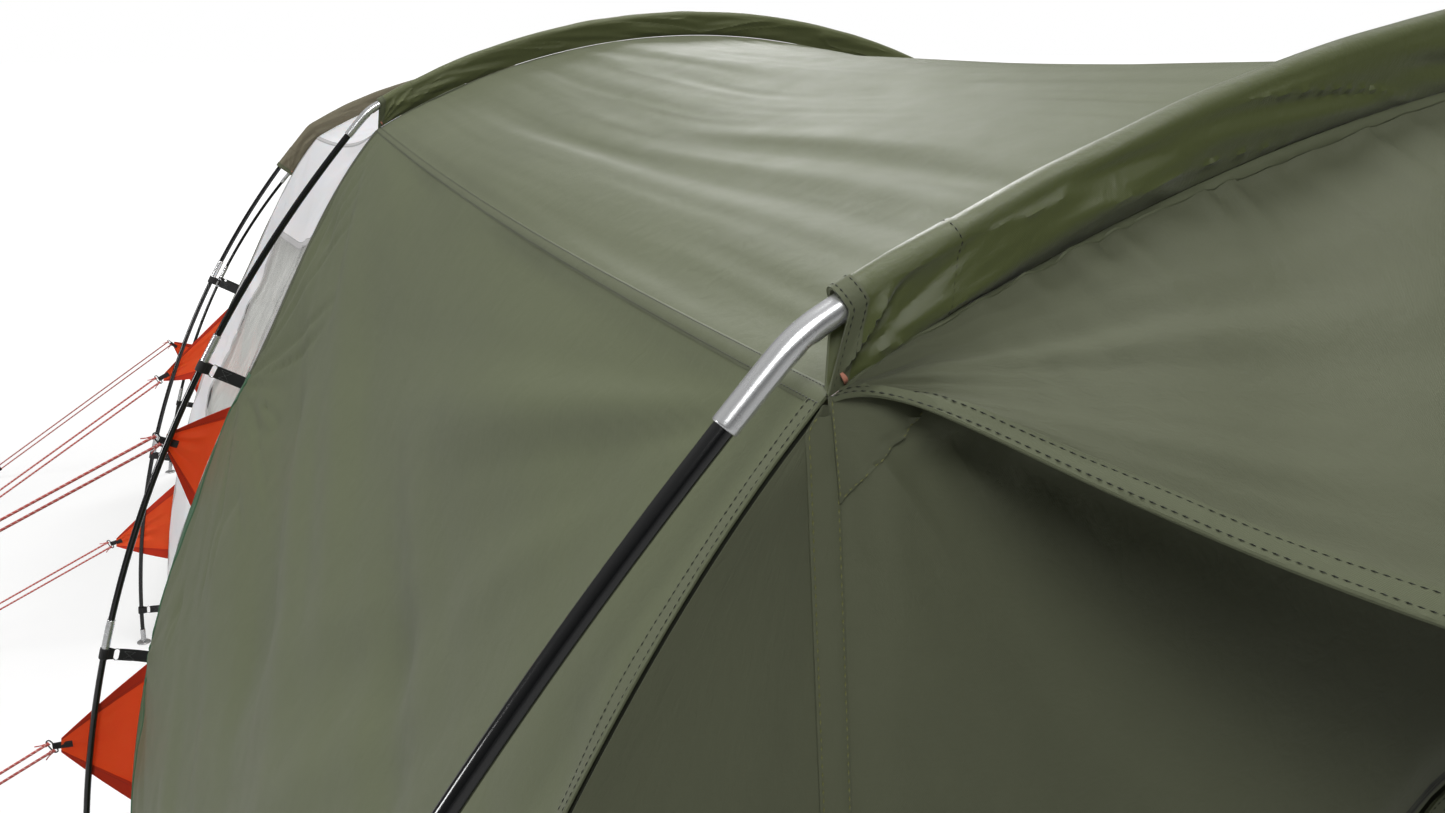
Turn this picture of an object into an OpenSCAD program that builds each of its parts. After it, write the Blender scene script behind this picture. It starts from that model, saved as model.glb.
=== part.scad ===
// Family tunnel tent: four fibreglass hoops, a fabric skin hung inside them, a hooded front
// end wall with a zipped door, an inner bedroom, and doubled guy lines with sliding runners.
// +Z is up, +Y runs from the front end to the rear, and the ground is z = 0.

/* [Hoops] */
// Height of the pole centre line at the top of the two front hoops
front_hoop_h = 2040; // [1900:10:2150]
// Height of the third hoop
third_hoop_h = 1890; // [1750:10:2000]
// Height of the rear hoop
rear_hoop_h = 1560; // [1450:10:1700]
// Outside diameter of a fibreglass pole
pole_d = 12.7; // [11:0.1:14]
// Inside diameter of a fibreglass pole
pole_bore = 8.4; // [7:0.1:9]
// Outside diameter of the steel ferrules and elbows
ferrule_d = 16; // [15.5:0.1:17]
// Radius of the roof arc
roof_r = 1375; // [1300:5:1450]
// Half angle of the roof arc, up to the elbow's bend
roof_a = 28.85; // [27:0.05:30]
// Angle that a pre-bent elbow turns through
bend_a = 18.8; // [16:0.1:20]
// Radius of the bend in an elbow
bend_r = 90; // [80:5:110]
// Radius of the leg arcs
leg_r = 2620; // [2500:10:2800]

/* [Bays] */
// Distance from hoop 1 to hoop 2
front_bay = 2060; // [1800:10:2300]
// Distance from hoop 2 to hoop 3
middle_bay = 1840; // [1600:10:2100]
// Distance from hoop 3 to hoop 4
rear_bay = 1900; // [1700:10:2200]

/* [Skin] */
// Thickness of a fabric panel with its seams
skin_t = 3; // [2:0.5:4]
// Distance from the pole's centre line down to the roof seam
fin_h = 38; // [32:1:45]
// Distance from a leg's centre line in to the side wall
leg_gap = 85; // [70:1:100]
// How far the roof sags between two hoops
roof_sag = 33; // [10:1:50]
// How far a side wall is drawn in between two hoops
side_sag = 45; // [10:1:60]
// How far the visor stands out in front of hoop 1
visor_reach = 430; // [350:5:480]
// Slope of the front wall from upright
front_slope = 8; // [4:0.5:10]
// How far the foot of the rear wall stands out behind hoop 4
rear_reach = 300; // [200:10:400]

/* [Door] */
// Width of the doorway
door_w = 640; // [560:10:700]
// Height of the doorway's sill above the ground, along the wall
door_sill = 130; // [100:10:200]
// Height of the doorway above its sill, along the wall
door_h = 1440; // [1300:10:1460]

/* [Guying] */
// Diameter of the guy lines
cord_d = 3; // [2.5:0.1:4]
// Distance between the two strands of a doubled guy line
strand_gap = 18; // [14:1:24]

/* [Hidden] */
$fn = 48;

// Hoops: heights, and places along Y that centre the whole tent on the origin.
// seam is how far a panel's edge stays from the plane of its hoop.
seam = 2.5;
hoop_h = [front_hoop_h, front_hoop_h, third_hoop_h, rear_hoop_h];
tent_back = front_bay + middle_bay + rear_bay + rear_reach;
hoop_1_y = -(tent_back + seam - visor_reach) / 2;
hoop_y = [
    hoop_1_y,
    hoop_1_y + front_bay,
    hoop_1_y + front_bay + middle_bay,
    hoop_1_y + front_bay + middle_bay + rear_bay,
];
eave_a = roof_a + bend_a;
leg_cx = (roof_r - bend_r) * sin(roof_a) + (bend_r - leg_r) * sin(eave_a);
leg_drop = roof_r - (roof_r - bend_r) * cos(roof_a) - (bend_r - leg_r) * cos(eave_a);
pole_foot_z = 8;

// Pole segments: angles along the leg arc where two segments meet
leg_joints = [eave_a + 11.9, eave_a + 25.4, eave_a + 38.9];
ferrule_half_a = 0.75;
bore_clear = 0.1;
elbow_leg_a = 1.0;
elbow_roof_a = 2.5;
mouth_a = roof_a - 0.5;

// Skin
skin_r = roof_r - fin_h;
corner_x = 660;
corner_drop = roof_r - sqrt(skin_r * skin_r - corner_x * corner_x);
corner_a = asin(corner_x / skin_r);
corner_gap = leg_r - norm([corner_x - leg_cx, leg_drop - corner_drop]);
skin_foot_z = 6;
sheet_t = 4;

// Straps and rings hold the skin to the legs at these angles
strap_as = [60.3, 73.9, 86];
strap_w = 25;
ring_r = 12.5;
ring_wire = 4;

// Guy lines: hoop, flap's base angles, flap's tip and the far end of the loop, left side.
// Tips and ends are [x, distance behind the hoop, z].
flap_y = 11;
flap_t = 2;
GUYS = [
    [1, 61.5, 66.5, [-1112, 11, 1243], [-1582, 112, 998]],
    [1, 74.3, 81.3, [-1380, 11, 622], [-1636, 66, 470]],
    [2, 61.8, 67.4, [-1215, 11, 915], [-1882, 142, 456]],
    [2, 76.0, 82.0, [-1424, 11, 366], [-1944, 122, 83]],
    [3, 67.5, 73.0, [-1265, 11, 622], [-2119, 187, 24]],
];

function mix(a, b, t) = a + (b - a) * t;
function ease(t) = t <= 0 ? 0 : t >= 1 ? 1 : t * t * (3 - 2 * t);
function hump(u) = 4 * u * (1 - u);
function leg_cz(h) = h - leg_drop;
function angle_at_z(h, z, r) = acos((z - leg_cz(h)) / r);

// A point of the skin's roof arc: v from -1 to 1 across, inset inward
function roof_pt(h, v, inset) =
    let (a = v * corner_a, r = skin_r - inset)
    [r * sin(a), h - roof_r + r * cos(a)];

// A point of the skin's side arc: t from 0 at the eave corner to 1 at the ground
function side_pt(h, t, inset) =
    let (
        foot = angle_at_z(h, skin_foot_z, leg_r - leg_gap),
        a = mix(eave_a, foot, t),
        r = leg_r - mix(corner_gap, leg_gap, ease((a - eave_a) / 12)) - inset
    )
    [leg_cx + r * sin(a), leg_cz(h) + r * cos(a)];

// The skin between hoops i and i + 1; u runs rearward from 0 to 1
function bay_h(i, u) = mix(hoop_h[i], hoop_h[i + 1], u);
function bay_y(i, u) = mix(hoop_y[i] + seam, hoop_y[i + 1] - seam, u);
function roof_skin(i, u, v, inset) =
    let (p = roof_pt(bay_h(i, u), v, inset + roof_sag * hump(u)))
    [p[0], bay_y(i, u), p[1]];
function side_skin(i, u, t, inset) =
    let (
        h = bay_h(i, u),
        eave = roof_pt(h, 1, roof_sag * hump(u)),
        pull = eave - side_pt(h, 0, 0),
        p = side_pt(h, t, inset + side_sag * hump(u) * sin(180 * t)),
        q = p + pull * pow(1 - t, 2)
    )
    [q[0], bay_y(i, u), q[1]];

// A closed sheet between two surfaces, each a function of u and v from 0 to 1
module sheet(outer, inner, nu, nv) {
    n = (nu + 1) * (nv + 1);
    function at(i, j) = i * (nv + 1) + j;
    points = concat(
        [for (i = [0:nu]) for (j = [0:nv]) outer(i / nu, j / nv)],
        [for (i = [0:nu]) for (j = [0:nv]) inner(i / nu, j / nv)]
    );
    skins = [
        for (i = [0:nu - 1]) for (j = [0:nv - 1])
            for (f = [
                [at(i, j), at(i, j + 1), at(i + 1, j + 1)],
                [at(i, j), at(i + 1, j + 1), at(i + 1, j)],
                [n + at(i, j), n + at(i + 1, j + 1), n + at(i, j + 1)],
                [n + at(i, j), n + at(i + 1, j), n + at(i + 1, j + 1)],
            ]) f
    ];
    sides = [
        for (i = [0:nu - 1]) for (f = [
            [at(i, 0), at(i + 1, 0), n + at(i + 1, 0)],
            [at(i, 0), n + at(i + 1, 0), n + at(i, 0)],
            [at(i + 1, nv), at(i, nv), n + at(i, nv)],
            [at(i + 1, nv), n + at(i, nv), n + at(i + 1, nv)],
        ]) f
    ];
    ends = [
        for (j = [0:nv - 1]) for (f = [
            [at(0, j + 1), at(0, j), n + at(0, j)],
            [at(0, j + 1), n + at(0, j), n + at(0, j + 1)],
            [at(nu, j), at(nu, j + 1), n + at(nu, j + 1)],
            [at(nu, j), n + at(nu, j + 1), n + at(nu, j)],
        ]) f
    ];
    polyhedron(points = points, faces = concat(skins, sides, ends));
}

module both_sides() {
    children();
    mirror([1, 0, 0]) children();
}

// A tube that follows part of a circle in the plane of a hoop; angles are from upright
module tube_arc(cx, cz, r, a1, a2, outside, bore) {
    translate([cx, 0, cz]) rotate([90, 0, 0]) rotate([0, 0, 90 - a2])
        rotate_extrude(angle = a2 - a1, $fn = 180) translate([r, 0]) difference() {
            circle(d = outside, $fn = 32);
            circle(d = bore, $fn = 32);
        }
}

module leg_tube(h, a1, a2, outside, bore) {
    tube_arc(leg_cx, leg_cz(h), leg_r, a1, a2, outside, bore);
}

module roof_tube(h, a1, a2, outside, bore) {
    tube_arc(0, h - roof_r, roof_r, a1, a2, outside, bore);
}

// Fibreglass segments: two under the sleeve, then one after another down each leg
module poles(i) {
    h = hoop_h[i];
    foot = angle_at_z(h, pole_foot_z, leg_r);
    joint_gap_a = 0.02;
    stops = concat([eave_a + 0.15], [for (a = leg_joints) if (a < foot - 2) a], [foot]);
    color("#17181a") translate([0, hoop_y[i], 0]) both_sides() {
        roof_tube(h, joint_gap_a, roof_a - 0.3, pole_d, pole_bore);
        for (k = [0:len(stops) - 2])
            leg_tube(h, stops[k] + joint_gap_a, stops[k + 1] - joint_gap_a, pole_d, pole_bore);
    }
}

// Steel parts of a hoop: pre-bent elbows, joint ferrules and foot tips
module fittings(i) {
    h = hoop_h[i];
    foot = angle_at_z(h, pole_foot_z, leg_r);
    bore = pole_d + 2 * bore_clear;
    bend_x = (roof_r - bend_r) * sin(roof_a);
    bend_z = h - roof_r + (roof_r - bend_r) * cos(roof_a);
    color("#c4c6c8") translate([0, hoop_y[i], 0]) {
        roof_tube(h, -1.4, 1.4, ferrule_d, bore);
        both_sides() {
            union() {
                roof_tube(h, roof_a - elbow_roof_a, roof_a, ferrule_d, bore);
                tube_arc(bend_x, bend_z, bend_r, roof_a, eave_a, ferrule_d, bore);
                leg_tube(h, eave_a, eave_a + elbow_leg_a, ferrule_d, bore);
            }
            for (a = leg_joints)
                if (a < foot - 2)
                    leg_tube(h, a - ferrule_half_a, a + ferrule_half_a, ferrule_d, bore);
            leg_tube(h, foot - 0.9, foot, ferrule_d, bore);
        }
    }
}

// Fabric sleeve over the roof poles, with the fin that joins it to the roof seam
// Cross-section of a sleeve: a ring round the pole and a fin that reaches in to the skin
module sleeve_section(fin) {
    outside = 21;
    inside = 17.2;
    difference() {
        union() {
            circle(d = outside, $fn = 32);
            polygon([[0, outside / 2], [-fin, 1.5], [-fin, -1.5], [0, -outside / 2]]);
        }
        circle(d = inside, $fn = 32);
    }
}

module sleeve_arc(cx, cz, r, a1, a2, fin) {
    translate([cx, 0, cz]) rotate([90, 0, 0]) rotate([0, 0, 90 - a2])
        rotate_extrude(angle = a2 - a1, $fn = 180) translate([r, 0]) sleeve_section(fin);
}

// The sleeve of the long_sleeve hoop goes on over the elbows and down the legs
long_sleeve = 2;
long_sleeve_leg_a = 3.3;
leg_fin = 35;
module sleeve(i) {
    h = hoop_h[i];
    bend_x = (roof_r - bend_r) * sin(roof_a);
    bend_z = h - roof_r + (roof_r - bend_r) * cos(roof_a);
    end_a = i == long_sleeve ? roof_a : mouth_a;
    color("#59603f") translate([0, hoop_y[i], 0]) union() {
        sleeve_arc(0, h - roof_r, roof_r, -end_a, end_a, fin_h);
        if (i == long_sleeve)
            both_sides() {
                sleeve_arc(bend_x, bend_z, bend_r, roof_a, eave_a, leg_fin);
                sleeve_arc(leg_cx, leg_cz(h), leg_r, eave_a, eave_a + long_sleeve_leg_a,
                    leg_fin);
            }
    }
}

module roof(i, tint) {
    edge = 0.998;
    color(tint) sheet(
        function (u, v) roof_skin(i, u, edge * (2 * v - 1), 0),
        function (u, v) roof_skin(i, u, edge * (2 * v - 1), skin_t),
        8, 12);
}

// A patch of one side wall, from u0 to u1 along the bay and t0 to t1 down it
module side_patch(i, u0, u1, t0, t1, rise, nu, nv) {
    sheet(
        function (u, v) side_skin(i, mix(u0, u1, u), mix(t0, t1, v), rise),
        function (u, v) side_skin(i, mix(u0, u1, u), mix(t0, t1, v), rise + skin_t),
        nu, nv);
}

module side_wall(i, tint) {
    color(tint) side_patch(i, 0, 1, 0.003, 1, 0, 8, 12);
}

// The window takes up this part of a middle side wall
win_u = [0.06, 0.84];
win_t = [0.17, 0.5];
win_gap = 0.0015;
module windowed_wall(tint) {
    color(tint) {
        side_patch(1, 0, 1, 0.003, win_t[0], 0, 8, 4);
        side_patch(1, 0, 1, win_t[1], 1, 0, 8, 6);
        side_patch(1, 0, win_u[0], win_t[0] + win_gap, win_t[1] - win_gap, 0, 2, 4);
        side_patch(1, win_u[1], 1, win_t[0] + win_gap, win_t[1] - win_gap, 0, 2, 4);
    }
}

module window_film() {
    color("#8d9390") side_patch(1, win_u[0] + win_gap, win_u[1] - win_gap,
        win_t[0] + win_gap, win_t[1] - win_gap, 0, 6, 4);
}

// Hood over the front wall: from the roof seam of hoop 1 to a free, curved hem
function visor_pt(u, k, inset) =
    let (
        h = hoop_h[0],
        top = roof_pt(h, k * 0.99, 0),
        open = 1 - k * k,
        hem = [corner_x * k, -visor_reach * open, h - 205 - 150 * pow(open, 1.1)],
        start = [top[0], -seam, top[1]],
        rise = 14 * hump(u) * open,
        p = start + (hem - start) * u + [0, -0.3 * rise, rise]
    )
    [p[0], hoop_y[0] + min(p[1], -seam) + inset * 0.6, p[2] - inset * 0.8];

module visor() {
    color("#62694f") sheet(
        function (u, v) visor_pt(1 - u, 1.96 * (v - 0.5), 0),
        function (u, v) visor_pt(1 - u, 1.96 * (v - 0.5), skin_t),
        6, 16);
}

// The front wall leans on a plane; along_wall turns a drawing of it into place,
// with x across and y up the slope from the ground
corner_z = front_hoop_h - corner_drop;
wall_foot_y = -corner_z * tan(front_slope);
module along_wall() {
    translate([0, hoop_y[0] + wall_foot_y, 0]) rotate([90 - front_slope, 0, 0]) children();
}
wall_len = corner_z / cos(front_slope);
wall_lift = skin_foot_z / cos(front_slope);
door_clear = 4;
door_round = 200;

module door_outline(w, low, high) {
    translate([-w / 2, low]) square([w, high - low - door_round]);
    translate([-w / 2 + door_round, high - 2 * door_round])
        square([w - 2 * door_round, 2 * door_round]);
    for (s = [-1, 1])
        translate([s * (w / 2 - door_round), high - door_round])
            circle(r = door_round, $fn = 64);
}

module front_wall() {
    top_r = skin_r - 12;
    color("#454b38") along_wall() linear_extrude(skin_t) difference() {
        union() {
            translate([-corner_x, wall_lift]) square([2 * corner_x, wall_len - wall_lift]);
            intersection() {
                translate([0, wall_len + corner_drop - roof_r]) circle(r = top_r, $fn = 180);
                translate([-corner_x + 12, wall_len - 1]) square([2 * corner_x - 24, 400]);
            }
        }
        door_outline(door_w, door_sill, door_sill + door_h);
    }
}

// Triangular sides of the front end, fanning out from the eave corners to the ground
function gusset_pt(u, v, inset) =
    let (
        h = hoop_h[0],
        t = 0.01 + 0.99 * v,
        edge = side_pt(h, t, 2),
        z = edge[1],
        back = -(corner_z - z) * tan(front_slope),
        near = [corner_x + 1.5, min(back, -seam), z],
        far = [max(edge[0], corner_x + 3), -seam, z]
    )
    let (p = mix(near, far, u))
    [p[0], hoop_y[0] + p[1] + inset, p[2]];

module front_gussets() {
    color("#4a503c") both_sides() sheet(
        function (u, v) gusset_pt(1 - u, v, 0),
        function (u, v) gusset_pt(1 - u, v, skin_t),
        4, 12);
}

module front_door() {
    color("#4d5340") along_wall() linear_extrude(skin_t)
        door_outline(door_w - 2 * door_clear, door_sill + door_clear,
            door_sill + door_h - door_clear);
}

// Zip tape round the doorway's free side and top, on the face of the wall; it stops
// zip_stop short of the hinge side, where the door's edge swings
zip_w = 14;
zip_t = 1.2;
zip_stop = 40;
module door_zip() {
    color("#1d1f1b") along_wall() translate([0, 0, skin_t + 0.1]) linear_extrude(zip_t)
        difference() {
            door_outline(door_w + 2 * zip_w, door_sill, door_sill + door_h + zip_w);
            door_outline(door_w, door_sill - 50, door_sill + door_h);
            translate([door_w / 2 - zip_stop, 0]) square([door_w, 2 * door_h]);
        }
}

slider_rest = door_sill + 30;
module door_zip_slider() {
    body = [10, 16, 4];
    tab = [5, 28, 1.5];
    color("#2c2e2f") along_wall()
        translate([-door_w / 2 - zip_w / 2, slider_rest, skin_t + zip_t + 0.4]) {
            translate([-body[0] / 2, 0, 0]) cube(body);
            translate([-tab[0] / 2, -tab[1] + 4, body[2] - 0.5]) cube(tab);
        }
}

// Rear end wall: joined to hoop 4's skin all round, leaning out towards its foot
function rear_pt(u, v, inset) =
    let (
        h = rear_hoop_h,
        s = 2 * u - 1,
        edge = v < 0.35
            ? roof_pt(h, ease(v / 0.35) * 0.985 + 0.012, 6)
            : side_pt(h, (v - 0.35) / 0.65 * 0.997 + 0.003, 2),
        drop = max(0, h - corner_drop - edge[1]),
        lean = rear_reach * drop / (h - corner_drop) * (1 - pow(abs(s), 3))
    )
    [edge[0] * s, hoop_y[3] + seam + lean - inset, edge[1]];

module rear_wall() {
    color("#59603f") sheet(
        function (u, v) rear_pt(1 - u, v, 0),
        function (u, v) rear_pt(1 - u, v, skin_t),
        12, 14);
}

module living_groundsheet() {
    half = 1235;
    start = hoop_y[0] + 30;
    color("#3b3d3c") translate([-half, start, 0])
        cube([2 * half, hoop_y[2] - 20 - start, sheet_t]);
}

// Inner bedroom, hung inside the rear bay
inner_inset = 75;
inner_y = [hoop_y[2] + 60, hoop_y[3] - 20];
inner_u = [for (y = inner_y) (y - hoop_y[2]) / rear_bay];
function inner_pt(u, w, inset) =
    let (
        h = bay_h(2, mix(inner_u[0], inner_u[1], u)),
        side = abs(w) > 0.4,
        t = (abs(w) - 0.4) / 0.6,
        p = side
            ? side_pt(h, t * 0.985, inner_inset + inset)
            : roof_pt(h, w / 0.4, inner_inset + inset),
        eave = roof_pt(h, 1, inner_inset + inset) - side_pt(h, 0, inner_inset + inset),
        q = side ? p + eave * pow(1 - t, 2) : p
    )
    [side ? sign(w) * q[0] : q[0], mix(inner_y[0], inner_y[1], u), max(q[1], sheet_t + 2)];

module bedroom_tent() {
    color("#c9c3ad") sheet(
        function (u, v) inner_pt(u, 2 * v - 1, 0),
        function (u, v) inner_pt(u, 2 * v - 1, skin_t),
        6, 30);
}

function inner_outline(u, inset) = [
    for (k = [-20:20]) let (p = inner_pt(u, k / 20, inset)) [p[0], p[2]]
];

module bedroom_front() {
    door = [700, 1350];
    color("#c9c3ad") translate([0, inner_y[0] - 1, 0]) rotate([90, 0, 0])
        linear_extrude(skin_t) difference() {
            polygon(inner_outline(0, 0));
            translate([0, 120]) {
                translate([-door[0] / 2, 0]) square([door[0], door[1] - door[0] / 2]);
                translate([0, door[1] - door[0] / 2]) circle(d = door[0], $fn = 64);
            }
        }
}

module bedroom_back() {
    color("#c9c3ad") translate([0, inner_y[1] + 1 + skin_t, 0]) rotate([90, 0, 0])
        linear_extrude(skin_t) polygon(inner_outline(1, 0));
}

module bedroom_floor() {
    half = 1225;
    start = hoop_y[2] - 10;
    color("#4d5052") translate([-half, start, 0])
        cube([2 * half, hoop_y[3] + 10 - start, sheet_t]);
}

// Webbing between the skin's edge and the ring on each leg
module leg_straps() {
    color("#141414") for (i = [0:3]) translate([0, hoop_y[i], 0]) both_sides()
        for (a = strap_as)
            if (a < angle_at_z(hoop_h[i], 60, leg_r))
                translate([leg_cx, 0, leg_cz(hoop_h[i])]) rotate([0, a - 90, 0])
                    translate([leg_r - leg_gap + 1, -1, -strap_w / 2])
                        cube([leg_gap - ring_r - ring_wire / 2 - 2, 2, strap_w]);
}

module strap_rings() {
    color("#0f0f10") for (i = [0:3]) translate([0, hoop_y[i], 0]) both_sides()
        for (a = strap_as)
            if (a < angle_at_z(hoop_h[i], 60, leg_r))
                translate([leg_cx, 0, leg_cz(hoop_h[i])]) rotate([0, a - 90, 0])
                    translate([leg_r, 0, 0])
                        rotate_extrude($fn = 48) translate([ring_r, 0])
                            circle(d = ring_wire, $fn = 16);
}

// Ground discs with the pins that stand inside the leg ends
module foot_pins() {
    disc_r = 22;
    disc_t = 4;
    pin_r = 3;
    color("#9a9c9e") for (i = [0:3]) both_sides() {
        foot = angle_at_z(hoop_h[i], pole_foot_z, leg_r);
        translate([leg_cx + leg_r * sin(foot), hoop_y[i], 0]) {
            cylinder(r = disc_r, h = disc_t);
            translate([0, 0, pole_foot_z]) rotate([0, foot - 90, 0])
                translate([0, 0, -5.5]) cylinder(r = pin_r, h = 22);
        }
    }
}

// Triangular flaps in line with the skin's edges; the base of each follows the side wall
function skin_edge(h, a) =
    let (r = leg_r - leg_gap + 1)
    [-(leg_cx + r * sin(a)), leg_cz(h) + r * cos(a)];

module guy_flaps() {
    half_tip = 6;
    base_steps = 4;
    color("#c0301c") both_sides() for (g = GUYS) {
        h = hoop_h[g[0]];
        tip = g[3];
        base = [for (k = [0:base_steps]) skin_edge(h, mix(g[1], g[2], k / base_steps))];
        translate([0, hoop_y[g[0]] + flap_y + flap_t / 2, 0]) rotate([90, 0, 0])
            linear_extrude(flap_t)
                polygon(concat([[tip[0], tip[2] + half_tip]], base,
                    [[tip[0], tip[2] - half_tip]]));
    }
}

// A guy line is one cord from the flap's tip, round the far end and back again
function guy_tip(g) = [g[3][0] - 6, hoop_y[g[0]] + g[3][1], g[3][2]];
function guy_end(g) = [g[4][0], hoop_y[g[0]] + g[4][1], g[4][2]];
function unit(v) = v / norm(v);
function guy_dir(g) = unit(guy_end(g) - guy_tip(g));
function guy_across(g) = unit(cross(guy_dir(g), cross(guy_dir(g), [0, 0, 1])));
turn_steps = 4;

function guy_path(g) =
    let (
        half = strand_gap / 2,
        d = guy_dir(g),
        c = guy_across(g),
        start = guy_tip(g) + 4 * d,
        turn = guy_end(g) - half * d
    )
    concat(
        [start - half * c, start - half * c + 30 * d],
        [for (k = [0:turn_steps])
            let (a = -90 + 180 * k / turn_steps)
            turn + half * (cos(a) * d + sin(a) * c)],
        [start + half * c]
    );

module cord(path, lift) {
    sides = 8;
    n = len(path);
    function heading(k) = unit(path[min(k + 1, n - 1)] - path[max(k - 1, 0)]);
    points = [
        for (k = [0:n - 1]) let (out = unit(cross(heading(k), lift)))
            for (s = [0:sides - 1]) let (a = 360 * s / sides)
                path[k] + cord_d / 2 * (cos(a) * out + sin(a) * lift)
    ];
    walls = [
        for (k = [0:n - 2]) for (s = [0:sides - 1])
            let (a = k * sides + s, b = k * sides + (s + 1) % sides)
            for (f = [[a, b, b + sides], [a, b + sides, a + sides]]) f
    ];
    caps = [
        [for (s = [sides - 1:-1:0]) s],
        [for (s = [0:sides - 1]) (n - 1) * sides + s],
    ];
    polyhedron(points = points, faces = concat(walls, caps));
}

module guy_line(g) {
    color("#d0685c") cord(guy_path(g), unit(cross(guy_dir(g), guy_across(g))));
}

// Plastic runner that both strands pass through
runner_from_end = 55;
module runner(g) {
    d = guy_dir(g);
    at = guy_end(g) - runner_from_end * d;
    body = [strand_gap + 12, 9, 14];
    color("#26282a") translate(at)
        rotate([0, acos(d[2]), atan2(d[1], d[0])])
            difference() {
                translate([-body[0] / 2, -body[1] / 2, 0]) cube(body);
                for (s = [-1, 1])
                    translate([s * strand_gap / 2, 0, -1])
                        cylinder(d = cord_d + 1.4, h = body[2] + 2, $fn = 24);
            }
}

for (i = [0:3]) {
    poles(i);
    fittings(i);
    sleeve(i);
}
roof(0, "#7a8068");  // roof_front
roof(1, "#737961");  // roof_middle
roof(2, "#6b7158");  // roof_rear
side_wall(0, "#666b57");  // side_front_right
mirror([1, 0, 0]) side_wall(0, "#666b57");  // side_front_left
windowed_wall("#d4d2d0");  // side_middle_right
mirror([1, 0, 0]) windowed_wall("#d4d2d0");  // side_middle_left
side_wall(2, "#666b57");  // side_rear_right
mirror([1, 0, 0]) side_wall(2, "#666b57");  // side_rear_left
window_film();  // window_right
mirror([1, 0, 0]) window_film();  // window_left
visor();
front_wall();
front_gussets();
front_door();
door_zip();
door_zip_slider();
rear_wall();
living_groundsheet();
bedroom_floor();
bedroom_tent();
bedroom_front();
bedroom_back();
leg_straps();
strap_rings();
foot_pins();
guy_flaps();
for (k = [0:len(GUYS) - 1]) {
    guy_line(GUYS[k]);
    mirror([1, 0, 0]) guy_line(GUYS[k]);
    runner(GUYS[k]);
    mirror([1, 0, 0]) runner(GUYS[k]);
}
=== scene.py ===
"""Looks of a family tunnel tent on four fibreglass hoops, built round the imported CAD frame.

Metres, +Z up, +Y from the front end to the rear. Left is -X, the side the camera sees.
"""

import math

import bpy
import numpy as np
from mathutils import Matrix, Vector


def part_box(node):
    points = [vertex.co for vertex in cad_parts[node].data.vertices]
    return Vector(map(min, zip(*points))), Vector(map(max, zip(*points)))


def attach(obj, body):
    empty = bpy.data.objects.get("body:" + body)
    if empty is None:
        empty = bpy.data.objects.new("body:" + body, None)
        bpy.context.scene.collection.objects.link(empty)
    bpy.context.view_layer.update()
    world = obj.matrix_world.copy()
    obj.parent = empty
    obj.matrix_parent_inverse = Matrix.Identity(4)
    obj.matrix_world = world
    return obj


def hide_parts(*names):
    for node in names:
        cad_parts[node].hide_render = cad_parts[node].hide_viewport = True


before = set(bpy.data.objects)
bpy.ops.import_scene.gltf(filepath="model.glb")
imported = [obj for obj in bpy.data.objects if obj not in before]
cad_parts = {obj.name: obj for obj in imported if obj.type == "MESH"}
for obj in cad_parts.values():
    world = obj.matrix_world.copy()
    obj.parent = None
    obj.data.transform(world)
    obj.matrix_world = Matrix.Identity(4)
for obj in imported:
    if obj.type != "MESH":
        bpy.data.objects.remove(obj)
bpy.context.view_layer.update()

# ---------------------------------------------------------------- sizes, as part.scad has them
HOOPS = range(4)
SIDES = (-1, 1)
LEFT_RIGHT = ((-1, "left"), (1, "right"))
Y_DIR = np.array([0, 1.0, 0])
POLE_R = 0.00635
FERRULE_R = 0.008
ROOF_R, ROOF_A = 1.375, 28.85
BEND_R, BEND_A = 0.090, 18.8
LEG_R = 2.620
EAVE_A = ROOF_A + BEND_A
FIN_H, LEG_GAP = 0.038, 0.085
ROOF_SAG, SIDE_SAG = 0.033, 0.045
CORNER_X = 0.660
VISOR_REACH = 0.430
FRONT_SLOPE = 8.0
REAR_REACH = 0.300
MOUTH_A = ROOF_A - 0.5
LEG_JOINTS = [EAVE_A + 11.9, EAVE_A + 25.4, EAVE_A + 38.9]
STRAP_AS = [60.3, 73.9, 86.0]
SKIN_FOOT_Z = 0.006
POLE_FOOT_Z = 0.008
EDGE = 0.0006
CLOTH = 0.0009
STRAND_HALF = 0.009
CORD_R = 0.0028
DOOR_W, DOOR_SILL, DOOR_H, DOOR_ROUND = 0.640, 0.130, 1.440, 0.200
DOOR_CLEAR = 0.004
# Guy lines of the left side: hoop, the flap's base angles, its tip and the loop's far end
GUYS = [
    (1, 61.5, 66.5, (-1.112, 0.011, 1.243), (-1.582, 0.112, 0.998)),
    (1, 74.3, 81.3, (-1.380, 0.011, 0.622), (-1.636, 0.066, 0.470)),
    (2, 61.8, 67.4, (-1.215, 0.011, 0.915), (-1.882, 0.142, 0.456)),
    (2, 76.0, 82.0, (-1.424, 0.011, 0.366), (-1.944, 0.122, 0.083)),
    (3, 67.5, 73.0, (-1.265, 0.011, 0.622), (-2.119, 0.187, 0.024)),
]

hoop_box = [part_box(f"poles_hoop_{i + 1}") for i in HOOPS]
HOOP_Y = [(low.y + high.y) / 2 for low, high in hoop_box]
HOOP_H = [high.z - POLE_R for low, high in hoop_box]


def sin_d(a):
    return np.sin(np.radians(a))


def cos_d(a):
    return np.cos(np.radians(a))


def mix(a, b, t):
    return a + (b - a) * t


def ease(t):
    t = np.clip(t, 0, 1)
    return t * t * (3 - 2 * t)


def hump(u):
    return 4 * u * (1 - u)


def arch(u):
    return np.sqrt(np.clip(hump(u), 0, 1))


def vec(*parts):
    return np.stack(np.broadcast_arrays(*[np.asarray(p, float) for p in parts]), -1)


def unit(v):
    v = np.asarray(v, float)
    return v / np.maximum(np.linalg.norm(v, axis=-1, keepdims=True), 1e-12)


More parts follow.
